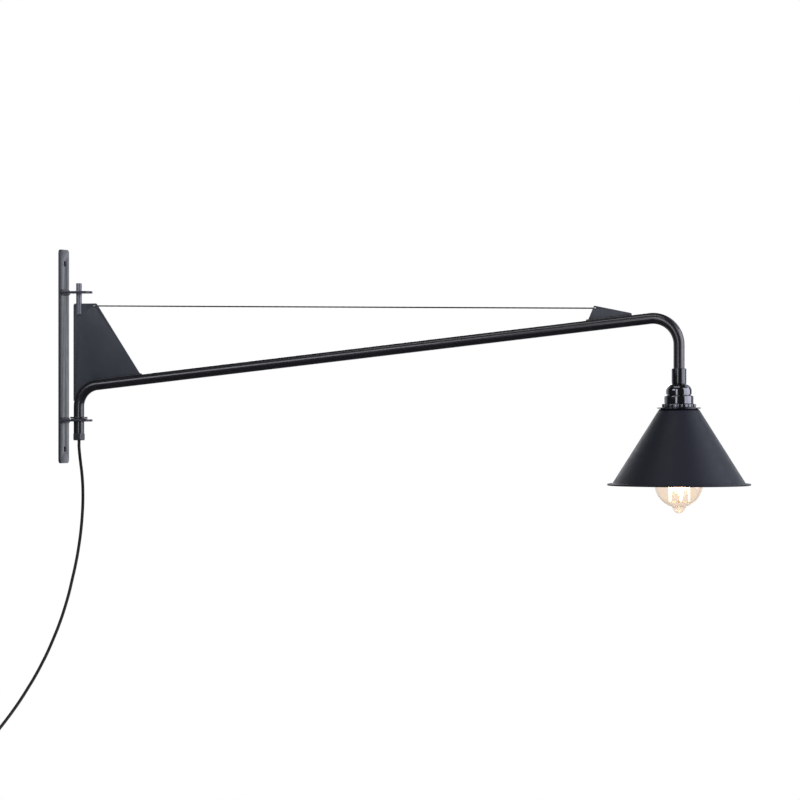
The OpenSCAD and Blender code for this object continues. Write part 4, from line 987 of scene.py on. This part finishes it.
def meets_run(a, b, above):
    """Where the line from a to b comes down to a distance above the run."""
    a, b = np.array(a, float), np.array(b, float)
    da, db = ((p - RUN_START) @ RUN_UP for p in (a, b))
    return a + (b - a) * (da - above) / (da - db)


def gusset(node, outline, hole_at):
    """Puts a gusset in its place: a plate in the lamp's middle plane with a small hole for the stay."""
    outlines = [outline, round_hole(hole_at, HOLE_R, 24)]
    return fit(plate_mesh(node + "_look", outlines, GUSSET_T, CUT_EASE, facing_y), GUSSET_PAINT, "swing_arm", node)


seat_r = ELBOW_R + SEAT
low_turn = 180 - math.degrees(math.asin((GUSSET_LOW - ELBOW_CENTRE[1]) / seat_r))
along_elbow = arc(ELBOW_CENTRE, seat_r, low_turn, 90 + RISE_DEGREES, 24)
front = [GUSSET_FRONT, GUSSET_TOP]
foot = meets_run(front, [GUSSET_END, arm_z(GUSSET_END)], SEAT)
upper = rounded(
    [foot, front, [SLOT_FRONT, GUSSET_TOP], [SLOT_FRONT, SLOT_LOW], [SLOT_BACK, SLOT_LOW], [SLOT_BACK, GUSSET_TOP],
     [GUSSET_BACK, GUSSET_TOP], [GUSSET_BACK, GUSSET_LOW]],
    [0, 3.0, 0, 0, 0, 0.3, 2.6, 0], 6,
)
near = np.array(front) - NEAR_IN
gusset("hinge_gusset", np.concatenate([upper, along_elbow]), near)
print("hole for the stay's near end, mm:", near.round(2).tolist())

# %% [markdown]
# The tip gusset is a small fin near the shade that holds the stay's far end. Its lower edge follows the tube in the
# same way, and its high corner stands over the place where the wire pulls.

# %% The tip gusset
FIN_BACK, FIN_PEAK, FIN_NOSE = TIP - 119, TIP - 108, TIP - 60
PEAK_HIGH, NOSE_HIGH, NOSE_LEAN, FAR_IN = 24.5, 9.5, 0.7, (-1.08, 3.24)
peak = np.array([FIN_PEAK, arm_z(FIN_PEAK) + PEAK_HIGH])
nose = [FIN_NOSE, arm_z(FIN_NOSE) + NOSE_HIGH]
back = meets_run(peak, [FIN_BACK, arm_z(FIN_BACK)], SEAT)
far = peak - FAR_IN
fin = [back, on_run(FIN_NOSE, SEAT) + [NOSE_LEAN, 0], nose, peak]
gusset("tip_gusset", rounded(fin, [0, 0, 2.0, 1.2], 6), far)
print("hole for the stay's far end, mm:", far.round(2).tolist())

# %% [markdown]
# Both gussets are welded to the tube along both their faces. The beads are thin and painted over, so from a step
# away they only soften the corner. They are the puddled radius again, this time carried along the tube's skin.

# %% The gussets' welds
SEAM_R, SEAM_PUDDLE = 1.5, 1.9
SEAMS = [(PIVOT + ELBOW_CUT + SEAM_R, GUSSET_END - SEAM_R), (FIN_BACK + SEAM_R, FIN_NOSE - SEAM_R)]


def seam_bead(x0, x1, side):
    """Round bead along the run between x0 and x1, where the gusset's face meets the tube's skin, with puddles."""
    face = side * GUSSET_T / 2
    lift = math.sqrt(TUBE_R**2 - face**2)
    s = np.linspace(0, (x1 - x0) / math.cos(RISE), int((x1 - x0) * 3))
    x = x0 + s * math.cos(RISE)
    centre = np.stack([x - lift * math.sin(RISE), np.full(len(x), face), arm_z(x) + lift * math.cos(RISE)], -1)
    return carried(centre, puddled(s, s[-1], SEAM_R, SEAM_PUDDLE)[:, None], 16)


seams = [seam_bead(a, b, side) for a, b in SEAMS for side in (-1, 1)]
dress("gusset_welds", seams, ARM_PAINT, crease=60)
print("welds along the tube, mm:", [round(b - a, 1) for a, b in SEAMS])

# %% [markdown]
# The stay is thin steel cable. It runs behind the gussets, bends through a hole in each and ends in a bright bead
# crimped on in front. Its strands are a twist in the surface: the radius rises and falls six times round, and the
# pattern turns as it goes along.

# %% The stay wire
WIRE_R, WIRE_BEND, WIRE_Y, WIRE_FRONT = 0.88, 1.61, 2.0, -1.05
LAY, GROOVE = 9.0, 0.12
BEND_POINTS, RUN_POINTS = 9, 520


def wire_line():
    """Path of the stay: out of the near hole, a quarter bend, the run, and a quarter bend into the far hole."""
    quarter = np.radians(np.linspace(0, 90, BEND_POINTS))
    x = WIRE_BEND * (1 - np.cos(quarter))
    y = WIRE_Y - WIRE_BEND + WIRE_BEND * np.sin(quarter)
    first = np.stack([near[0] + x, y, np.full(BEND_POINTS, near[1])], -1)
    last = np.stack([far[0] - x[::-1], y[::-1], np.full(BEND_POINTS, far[1])], -1)
    run = np.linspace(first[-1], last[0], RUN_POINTS)[1:-1]
    return np.concatenate([[[near[0], WIRE_FRONT, near[1]]], first, run, last, [[far[0], WIRE_FRONT, far[1]]]])


line = wire_line()
gone = np.concatenate([[0], np.cumsum(np.linalg.norm(np.diff(line, axis=0), axis=1))])[:, None]
twist = np.abs(np.cos(3 * (once_round(24) - 2 * np.pi * gone / LAY)))
strands = WIRE_R * (1 - GROOVE + GROOVE * twist)
dress("stay_wire", [carried(line, strands, 24, side=(0.0, 0.0, 1.0))], WIRE_STEEL, crease=80)
print("stay, mm:", round(float(gone[-1, 0]), 1))

# %% [markdown]
# A bead of soft metal is crimped on each end of the stay, where it comes out in front of its gusset. It is a half
# ball with a flat on top, turned like the others and laid over so that its axis points to the front.

# %% The crimped beads
CRIMP_R = 1.8
FLAT_POINTS = 4

dome = arc(ORIGIN, CRIMP_R, 0, 90, 14)
dome[-FLAT_POINTS:, 1] = dome[-FLAT_POINTS, 1]
crimp = turned(np.concatenate([[[0, 0]], dome, [[0, dome[-1, 1]]]]), ORIGIN, 32)
crimps = [laid_over(crimp, x, WIRE_FRONT, z, facing=-1) for x, z in (near, far)]
dress("wire_beads", crimps, BEAD_METAL, crease=40)

# %% [markdown]
# ## Cord gland
#
# The tube's foot is closed by a gland with six flats. Turned between a round bar and a hexagon, its radius is the
# smaller of the two at every angle, which is just how the chamfer of a real nut comes about.

# %% The gland
HALF_FLATS = 7.0
GLAND_BORE, SEAT_R, SPIGOT_R = 2.3, 4.5, 4.0
SEAT_Z, GLAND_HEAD, SPIGOT_TOP = GLAND_Z + 5, FOOT_Z - HAIR, FOOT_Z + 10
CHAMFER_LOW, CHAMFER_TOP = 1.2, 0.6


def hexagon(a, half_flats):
    """Radius of a hexagon at angle a: half the distance over its flats, over the cosine of the angle to a flat."""
    return half_flats / np.cos(np.mod(a, np.pi / 3) - np.pi / 6)


corner = HALF_FLATS / math.cos(math.pi / 6)
gland = rounded(
    [[SEAT_R, GLAND_Z], [HALF_FLATS - 0.1, GLAND_Z], [corner, GLAND_Z + CHAMFER_LOW],
     [corner, FOOT_Z - CHAMFER_TOP], [corner - CHAMFER_TOP, GLAND_HEAD], [SPIGOT_R, GLAND_HEAD],
     [SPIGOT_R, SPIGOT_TOP], [GLAND_BORE, SPIGOT_TOP], [GLAND_BORE, SEAT_Z], [SEAT_R, SEAT_Z]],
    [0.2, 0.3, 0.3, 0.2, 0.2, 0, 0, 0, 0, 0], 3,
)
six_flats = turned(gland, ON_PIVOT, scallop=lambda r, a: np.minimum(r, hexagon(a, HALF_FLATS)))
dress("cord_gland", [six_flats], GLAND_METAL, crease=20)
grommet = section(GLAND_Z, SEAT_Z, CORD_R + PLAY, SEAT_R - PLAY, [0.9, 0.5, 0.1, 0.1], 6)
dress("gland_grommet", [turned(grommet, ON_PIVOT, 48)], GROMMET_RUBBER)

# %% [markdown]
# ## Lampholder
#
# The lampholder is a stack of turned pieces that are plated black: a sleeve on the tube, a domed cap, a narrow
# groove, a skirt, and a ring with beads round its edge that clamps the shade's washer. The dark lines between them
# matter as much as the pieces, so each keeps its true gap.

# %% Sleeve, cap and body
SLEEVE_R, NIPPLE_BORE = 9.25, 5.05
CAP_R, CAP_SHEET, CAP_ROUND = 16.3, 1.2, 9.0
SKIRT_R, BARREL_BORE, SPIGOT_IN, SPIGOT_OUT = 18.5, 16.2, 14.05, 15.05
WEB_TOP, SPIGOT_END = SKIRT_TOP - 2.95, SKIRT_TOP + 6.0
AROUND_MANY = 128

sleeve = section(SLEEVE_LOW, SLEEVE_TOP, TUBE_R + PLAY, SLEEVE_R, [0, 0.3, 0.8, 0.2], 5)
dress("holder_sleeve", [turned(sleeve)], SLEEVE_CHROME)

cap_in, cap_under = CAP_R - CAP_SHEET, SLEEVE_LOW - CAP_SHEET
cap = rounded(
    [[NIPPLE_BORE, cap_under], [cap_in, cap_under], [cap_in, CAP_LOW], [CAP_R, CAP_LOW], [CAP_R, SLEEVE_LOW],
     [NIPPLE_BORE, SLEEVE_LOW]],
    [0, CAP_ROUND - CAP_SHEET, 0.1, 0.35, CAP_ROUND, 0.1], 16,
)
dress("holder_cap", [turned(cap, around=AROUND_MANY)], BLACK_CHROME)

body = rounded(
    [[SPIGOT_IN, WEB_TOP], [BARREL_BORE, WEB_TOP], [BARREL_BORE, BARREL_END], [BARREL_R, BARREL_END],
     [BARREL_R, SKIRT_LOW], [SKIRT_R, SKIRT_LOW], [SKIRT_R, SKIRT_TOP], [SPIGOT_OUT, SKIRT_TOP],
     [SPIGOT_OUT, SPIGOT_END], [SPIGOT_IN, SPIGOT_END]],
    [0, 0.2, 0.2, 0.3, 0.2, 0.7, 2.0, 0.15, 0.1, 0.1], 8,
)
dress("holder_body", [turned(body, around=AROUND_MANY)], BLACK_CHROME)

# %% [markdown]
# A ring with beads round its edge, to be gripped by the fingers, is screwed down on the shade's washer. The beads
# are rolled in the real one. Here they are half circles added to the radius, 26 in one turn, with 16 points to each
# so that they stay round. The ring under the shade is plain, and an eased copy of its solid will do.

# %% The beaded ring and the washer
BEADS, BEAD_POINTS, RING_R = 26, 16, 21.2
BEAD_R = math.pi * 2 * RING_R / BEADS / 4
CORE = RING_R - BEAD_R
WASHER_OUT = 27.3


def beaded(r, a):
    """Outer edge with round beads: the core's radius plus the height of a half circle over each bead."""
    step = 2 * np.pi / BEADS
    off = (np.mod(a + step / 2, step) - step / 2) * CORE
    bump = np.sqrt(np.clip(BEAD_R**2 - off**2, 0, None))
    return np.where(r > CORE - 0.5, r - BEAD_R + bump, r)


ring = section(RING_LOW + HAIR, SKIRT_LOW - HAIR, CLAMP_BORE, RING_R, [0.1, 1.0, 1.0, 0.1], 8)
dress("shade_ring", [turned(ring, around=BEADS * BEAD_POINTS, scallop=beaded)], BLACK_CHROME, crease=45)
shade_washer = section(SHADE_TOP, RING_LOW, CLAMP_BORE, WASHER_OUT, [0.1, 0.6, 0.6, 0.1], 5)
dress("shade_washer", [turned(shade_washer, around=AROUND_MANY)], WASHER_METAL)
fit(eased_copy("retaining_ring"), BLACK_CHROME, "swing_arm", "retaining_ring")

# %% [markdown]
# A grub screw on the far side holds the sleeve to the tube. Its socket has six flats, which come about as on the
# gland: where the outline has the socket's radius, that radius becomes a hexagon's.

# %% The sleeve's grub screw
SCREW_FOOT, SCREW_HEAD, SCREW_OUT, SCREW_DROP = 7.1, 9.32, 1.4, 6.0
SOCKET_R, SOCKET_FLATS, SOCKET_FOOT = 0.8, 0.7, 8.4


def socketed(r, a):
    """The hexagon's radius where the outline has the socket's, and the turned radius everywhere else."""
    return np.where(np.isclose(r, SOCKET_R), hexagon(a, SOCKET_FLATS), r)


grub = rounded(
    [[0, SCREW_FOOT], [SCREW_OUT, SCREW_FOOT], [SCREW_OUT, SCREW_HEAD], [SOCKET_R, SCREW_HEAD],
     [SOCKET_R, SOCKET_FOOT], [0, SOCKET_FOOT]],
    [0, 0, 0.15, 0, 0, 0], 3,
)
grub_screw = laid_over(turned(grub, ORIGIN, 24, socketed), TIP, 0.0, SLEEVE_TOP - SCREW_DROP, facing=1)
dress("sleeve_screw", [grub_screw], SCREW_STEEL, crease=25)

# %% [markdown]
# ## Shade
#
# The cone is spun from one disc: a flat top, a tight bend, a straight side, a second bend out to a narrow brim, and
# a wire edge rolled at the rim. As one closed outline turned round the axis it gets an inside, an outside and a true
# wall in one go. The inside of the real one is painted too.

# %% The shade
TOP_R, CONE_R, CONE_H, WALL = 24.2, 83.0, 93.5, 1.0
TOP_BEND, BRIM_BEND = 5.0, 3.0
RIM_R, ROLL_R, ROLL_OPEN = 88.9, 1.2, 24.6
lean = math.degrees(math.atan2(CONE_R - TOP_R, CONE_H))
half = math.radians((90 - lean) / 2)
brim = (CONE_R + BRIM_BEND * math.tan(half), SHADE_TOP - CONE_H + BRIM_BEND)
top = (TOP_R - TOP_BEND * math.tan(half), SHADE_TOP - TOP_BEND)
rim = (RIM_R - ROLL_R, SHADE_TOP - CONE_H - WALL / 2)
outer_side = np.concatenate([
    [[CLAMP_BORE, SHADE_TOP - WALL], [CLAMP_BORE, SHADE_TOP]], arc(top, TOP_BEND, 90, lean, 12),
    arc(brim, BRIM_BEND, 180 + lean, 270, 10),
])
inner_side = np.concatenate([arc(brim, BRIM_BEND + WALL, 270, 180 + lean, 10), arc(top, TOP_BEND - WALL, lean, 90, 12)])
roll = arc(rim, ROLL_R, 180 - ROLL_OPEN, -180 + ROLL_OPEN, 26)


def filled_in(points, longest):
    """Adds points to an open line so that no step is over the longest: each stretch is cut into equal parts."""
    way = np.diff(points, axis=0)
    parts = np.maximum(1, np.ceil(np.linalg.norm(way, axis=1) / longest)).astype(int)
    share = (np.arange(parts.sum()) - np.repeat(np.cumsum(parts) - parts, parts)) / np.repeat(parts, parts)
    between = np.repeat(points[:-1], parts, axis=0) + np.repeat(way, parts, axis=0) * share[:, None]
    return np.concatenate([between, points[-1:]])


shade_outline = filled_in(np.concatenate([outer_side, roll, inner_side]), longest=6.0)
dress("shade", [turned(shade_outline, around=192)], SHADE_PAINT, crease=40)
print("shade outline points:", len(shade_outline))

# %% [markdown]
# ## Bulb
#
# The bulb is the only bright thing here. Its amber glass has a round globe, a hollow shoulder up to the screw cap
# and a drawn tip at the bottom, where the old way of sealing left a nipple. Its two walls are two outlines, drawn
# from the same function with the second one a glass thickness further in.

# %% The glass
NECK_R, SHOULDER_R = 11.95, 45.0
TIP_R, WAIST_R, GLASS = 8.5, 0.9, 0.8
NECK_TOP = BULB_CAP_LOW + 8.0
SHOULDER_Z = GLOBE_Z + math.sqrt((GLOBE_R + SHOULDER_R) ** 2 - (NECK_R + SHOULDER_R) ** 2)


def bearing(start, end):
    """Angle in degrees of the way from one point to another."""
    return math.degrees(math.atan2(end[1] - start[1], end[0] - start[0]))


def glass_side(inset):
    """Outline of one wall from the tip up: drawn tip, a small fillet, the globe, the hollow shoulder, the neck.

    The fillet's centre, the waist, is found by the cosine rule from its distances to the tip's and globe's centres.
    """
    tip_r, globe_r = TIP_R - inset, GLOBE_R - inset
    tip, globe = (0, GLOBE_Z - GLOBE_R + TIP_R - DRAWN_TIP), (0, GLOBE_Z)
    shoulder = (NECK_R + SHOULDER_R, SHOULDER_Z)
    apart, reach = GLOBE_Z - tip[1], globe_r + WAIST_R
    drop = math.acos(np.clip((reach**2 + apart**2 - (tip_r + WAIST_R) ** 2) / (2 * reach * apart), -1, 1))
    waist = (reach * math.sin(drop), GLOBE_Z - reach * math.cos(drop))
    touch = bearing(globe, shoulder)
    return np.concatenate([
        arc(tip, tip_r, -90, bearing(tip, waist), 14)[:-1],
        arc(waist, WAIST_R, bearing(waist, tip) % 360, bearing(waist, globe) % 360, 6)[:-1],
        arc(globe, globe_r, bearing(globe, waist), touch, 60)[:-1],
        arc(shoulder, SHOULDER_R + inset, 180 + touch, 180, 16),
        [[NECK_R - inset, NECK_TOP]],
    ])


glass_outline = np.concatenate([glass_side(0.0), glass_side(GLASS)[::-1]])
bulb = dress("bulb_glass", [turned(glass_outline, around=AROUND_MANY)], AMBER_GLASS, "bulb_envelope", 60)
bulb.visible_shadow = False
print("glass outline points:", len(glass_outline))

# %% [markdown]
# The screw cap has a true thread: its radius depends on height less the share of a turn, so the ridge climbs one
# pitch for each time round. The solid under it has plain rings, which are enough for contact.

# %% The screw cap
PITCH, ROOT_R, CREST, CAP_WALL = 3.63, 12.4, 0.6, 0.4
PLAIN_LOW, FADE_LOW, FADE_TOP = 1.0, 2.0, 1.5
THREAD_ROWS = 130
skin = np.stack([np.full(THREAD_ROWS, ROOT_R), np.linspace(BULB_CAP_LOW, THREAD_TOP, THREAD_ROWS)], -1)
shell = np.concatenate([skin, [[ROOT_R - CAP_WALL, THREAD_TOP], [ROOT_R - CAP_WALL, BULB_CAP_LOW]]])


def threaded(r, a):
    """On the shell's skin, root radius plus a rounded ridge that follows z / PITCH - a / 2 pi and fades at its ends."""
    z = shell[:, 1:]
    phase = (z - THREAD_TOP) / PITCH - a / (2 * np.pi)
    ridge = np.cos(np.pi * (phase - np.round(phase))) ** 1.5
    fade = np.clip((THREAD_TOP - z) / FADE_TOP, 0, 1) * np.clip((z - BULB_CAP_LOW - PLAIN_LOW) / FADE_LOW, 0, 1)
    return np.where(r < ROOT_R, r, r + CREST * ridge * fade)


dress("bulb_cap", [turned(shell, scallop=threaded)], CAP_NICKEL, "bulb_base", 50)
print("turns of thread:", round((THREAD_TOP - BULB_CAP_LOW) / PITCH, 1))

# %% [markdown]
# Inside the globe a glass stem carries wire supports, and the strand is hung between them up and down like the ropes
# of a drum. Its path is a zigzag whose corners go once round a circle, and the section carried along it is a thin
# round wire that glows.

# %% The stem and the caged filament
STEM_TOP = BULB_CAP_LOW + 6.0
STEM_END = STEM_TOP - 26.0
FLARE_R, FLARE_EDGE, FLARE_HIGH, STEM_R = 11.1, 0.8, 6.4, 3.2
CAGE_R, STRANDS, STRAND_R, STRAND_POINTS, HOOK = 13.4, 10, 0.34, 40, 0.7
CAGE_LOW = GLOBE_Z - GLOBE_R * 0.74
CAGE_TOP = CAGE_LOW + 44.0
stem_outline = rounded(
    [[0, STEM_TOP], [FLARE_R, STEM_TOP], [FLARE_R, STEM_TOP - FLARE_EDGE], [STEM_R, STEM_TOP - FLARE_HIGH],
     [STEM_R, STEM_END], [0, STEM_END]],
    [0, 0.3, 0.3, 3.0, 1.4, 0], 8,
)
stem = dress("bulb_stem", [turned(stem_outline, around=48)], CLEAR_GLASS, "bulb_envelope")
stem.visible_shadow = False


def cage_line():
    """Path of the strand: corners alternate between top and foot as they go round, joined by straight strands."""
    n = np.arange(STRANDS + 1)
    a = 2 * np.pi * n / (STRANDS + 1)
    z = np.where(n % 2 == 0, CAGE_TOP - HOOK, CAGE_LOW + HOOK)
    corners = np.stack([TIP + CAGE_R * np.cos(a), CAGE_R * np.sin(a), z], -1)
    share = np.linspace(0, 1, STRAND_POINTS, endpoint=False)[None, :, None]
    line = corners[:-1, None] + (corners[1:, None] - corners[:-1, None]) * share
    return np.concatenate([line.reshape(-1, 3), corners[-1:]])


strand = cage_line()
filament = carried(strand, STRAND_R, 8, side=(1.0, 0.0, 0.0))
dress("bulb_filament", [filament], HOT_FILAMENT, "bulb_envelope", 80)
print("strand, mm:", round(float(np.linalg.norm(np.diff(strand, axis=0), axis=1).sum()), 1))

# %% [markdown]
# ## What stays as it is
#
# The pieces inside the tube and the lampholder, and the small ones of the bulb, have their right shape already. They
# keep their solids and only get their finish.

# %% Finishes for the solids that stay
KEPT = {
    "arm_cable": CORD_JACKET, "threaded_nipple": NIPPLE_ZINC, "socket_insulator": INSULATOR_CERAMIC,
    "terminal_screws": BRASS, "terminal_wires": CORE_INSULATION, "screw_shell": BRASS, "centre_contact": BRASS,
    "bulb_insulator": BLACK_GLASS, "bulb_contact": CONTACT_TIN, "bulb_supports": SUPPORT_WIRE,
}
for node, finish in KEPT.items():
    for place in nodes[node].material_slots:
        place.material = finish.material
    print(node, "has", names(finish), "in", len(nodes[node].material_slots), "slot")

# %% [markdown]
# ## Floor, light and background
#
# The picture has a plain white ground. What looks straight at it sees white: camera rays, and rays that glass lets
# through. Light on a dull surface comes from a soft grey sky, so that the paint keeps its own dark. A gloss sees the
# studio as it was: white behind the lamp, where the wall plate's face looks, grey on the far left, and else dark.

# %% The world
world = bpy.data.worlds.new("plain_studio")
bpy.context.scene.world = world
sky = Graph(world)


def ray(graph, kind):
    """One output of Light Path: 1 for rays of that kind, 0 for the rest."""
    return graph.node("ShaderNodeLightPath", {}, {}, output=kind)


def light(graph, colour, strength):
    """Background of one colour and strength."""
    return graph.node("ShaderNodeBackground", {}, {"Color": (*colour, 1.0), "Strength": strength})


def either(graph, share, first, second):
    """Two shaders mixed by share: the first where it is 0, the second where it is 1."""
    return graph.node("ShaderNodeMixShader", {}, {0: share, 1: first, 2: second})


def straight_on(graph):
    """1 for what the camera sees, straight or through glass, and 0 for the rest."""
    return ray(graph, "Is Camera Ray") + ray(graph, "Is Transmission Ray")


direction = sky.node("ShaderNodeTexCoord", {}, {}, output="Generated")
to_left = 0.0 - sky.node("ShaderNodeSeparateXYZ", {}, {0: direction}, output="X")
to_rear = sky.node("ShaderNodeSeparateXYZ", {}, {0: direction}, output="Y")
left_grey = to_left.kept(0.55, 0.8, "SMOOTHSTEP") * to_rear.kept(-0.1, 0.25, "SMOOTHSTEP")
dark = either(sky, left_grey, light(sky, (0.92, 0.94, 1.0), 0.06), light(sky, (0.93, 0.95, 1.0), 0.7))
mirrored = either(sky, to_rear.kept(0.7, 0.95, "SMOOTHSTEP"), dark, light(sky, (0.9, 0.94, 1.0), 1.5))
around = either(sky, ray(sky, "Is Glossy Ray"), light(sky, (0.9, 0.93, 1.0), 0.3), mirrored)
backdrop = either(sky, straight_on(sky), around, light(sky, (1.0, 1.0, 1.0), 1.0))
sky.node("ShaderNodeOutputWorld", {}, {"Surface": backdrop})
print("world nodes:", len(sky.tree.nodes))

# %% [markdown]
# The floor is a pale disc that fades into the white at its edge and keeps the lamp's shadow in the middle. The fade
# is a share of plain white light, mixed in by the distance from the disc's centre. The disc has one side only, so it
# hides nothing from a camera that looks up from below.

# %% The floor
FLOOR_X, FLOOR_Z, FLOOR_R = 0.4, -0.70, 1.25
FLOOR_RINGS, FLOOR_SPOKES = 26, 128
rings, spokes = np.linspace(0.0, FLOOR_R, FLOOR_RINGS)[:, None], once_round(FLOOR_SPOKES)
level = np.full((FLOOR_RINGS, FLOOR_SPOKES), FLOOR_Z)
disc = np.stack([FLOOR_X + rings * np.cos(spokes), rings * np.sin(spokes), level], -1)
floor = mesh_piece("floor", [(disc, grid_faces(FLOOR_RINGS, FLOOR_SPOKES, False, True))], 32.0)
if floor.data.polygons[0].normal[2] < 0:
    floor.data.flip_normals()
floor.visible_glossy = False

pale = Finish("pale_floor", look=(0.9, 0.9, 0.9), Roughness=0.9, Specular_IOR_Level=0.1)
pale.link(Base_Color=pale.shade(pale.noise(0.2), tones((0.9, 0.9, 0.9), 0.98, 1.0)))
centred = pale.node("ShaderNodeMapping", {}, {"Vector": pale.place, "Location": (-FLOOR_X, 0.0, -FLOOR_Z)})
reach = pale.node("ShaderNodeVectorMath", {"operation": "LENGTH"}, {0: centred}, output="Value")
fading = (reach.kept(0.35, 1.2, "SMOOTHSTEP") * 0.55 + 0.45) * straight_on(pale)
white = pale.node("ShaderNodeEmission", {}, {"Strength": 1.0})
above = either(pale, fading, pale.surface, white)
beneath = pale.node("ShaderNodeNewGeometry", {}, {}, output="Backfacing")
pale.show(either(pale, beneath, above, pale.node("ShaderNodeBsdfTransparent", {}, {})))
floor.data.materials.append(pale.material)
print("floor at", FLOOR_Z, "m, facing", tuple(floor.data.polygons[0].normal))

# %% [markdown]
# Polished tubes show their lamps as stripes, so each soft box stands where its stripe is wanted. An upright tube
# mirrors a lamp at twice the angle of its skin: one lamp in front gives the thin left stripe, two on the right give
# the broad one. A tall box makes an even stripe, and the one high on the left lights the sloping run alone.

# %% The lamps


def soft_box(name, where, size, power, colour=(1.0, 1.0, 1.0), aim=(0.45, 0.0, -0.05)):
    """Oblong soft box at a place, size wide and high, turned to face the aim."""
    data = bpy.data.lights.new(name, "AREA")
    data.shape = "RECTANGLE"
    data.size, data.size_y = size
    data.energy = power
    data.color = colour
    box = added(name, data)
    away = np.array(where, float) - np.array(aim, float)
    box.location = where
    pitch = math.acos(away[2] / np.linalg.norm(away))
    box.rotation_euler = (pitch, 0.0, math.atan2(away[1], away[0]) + math.pi / 2)
    print(f"{name}: {power} W from {np.linalg.norm(away):.2f} m away")


soft_box("key", (2.3, -0.55, 0.35), (0.8, 1.9), 15.0, (0.9, 0.91, 1.0))
soft_box("side", (2.3, 0.32, 0.2), (1.0, 1.6), 19.0, (0.87, 0.89, 1.0))
soft_box("front", (0.47, -2.3, 0.4), (0.5, 1.7), 9.0, (0.95, 0.96, 1.0))
soft_box("strip", (-0.8, -2.2, 0.85), (1.2, 0.8), 11.5, (0.91, 0.93, 1.0), aim=(0.1, 0.0, 0.0))
soft_box("high", (2.1, 1.1, 1.5), (1.2, 1.2), 5.5, (0.84, 0.9, 1.0), aim=(0.8, 0.0, -0.1))
soft_box("over", (0.3, -0.9, 2.2), (1.8, 0.4), 8.0)
soft_box("back", (-0.7, 2.4, 0.9), (1.4, 1.2), 12.0, (0.95, 0.96, 1.0))

# %% [markdown]
# The bulb is lit, faintly. A small warm lamp at the middle of the globe does what the strand alone can't: it tints
# the inside of the shade.

# %% The bulb's own light
warm = bpy.data.lights.new("bulb_glow", "POINT")
warm.energy = 0.9
warm.color = (1.0, 0.62, 0.32)
warm.shadow_soft_size = 0.012
warm_light = added("bulb_glow", warm)
warm_light.location = (TIP * MM, 0.0, (GLOBE_Z + 2) * MM)
bpy.context.scene.view_settings.view_transform = "Standard"
print("bulb's light at", [round(v, 3) for v in warm_light.location])
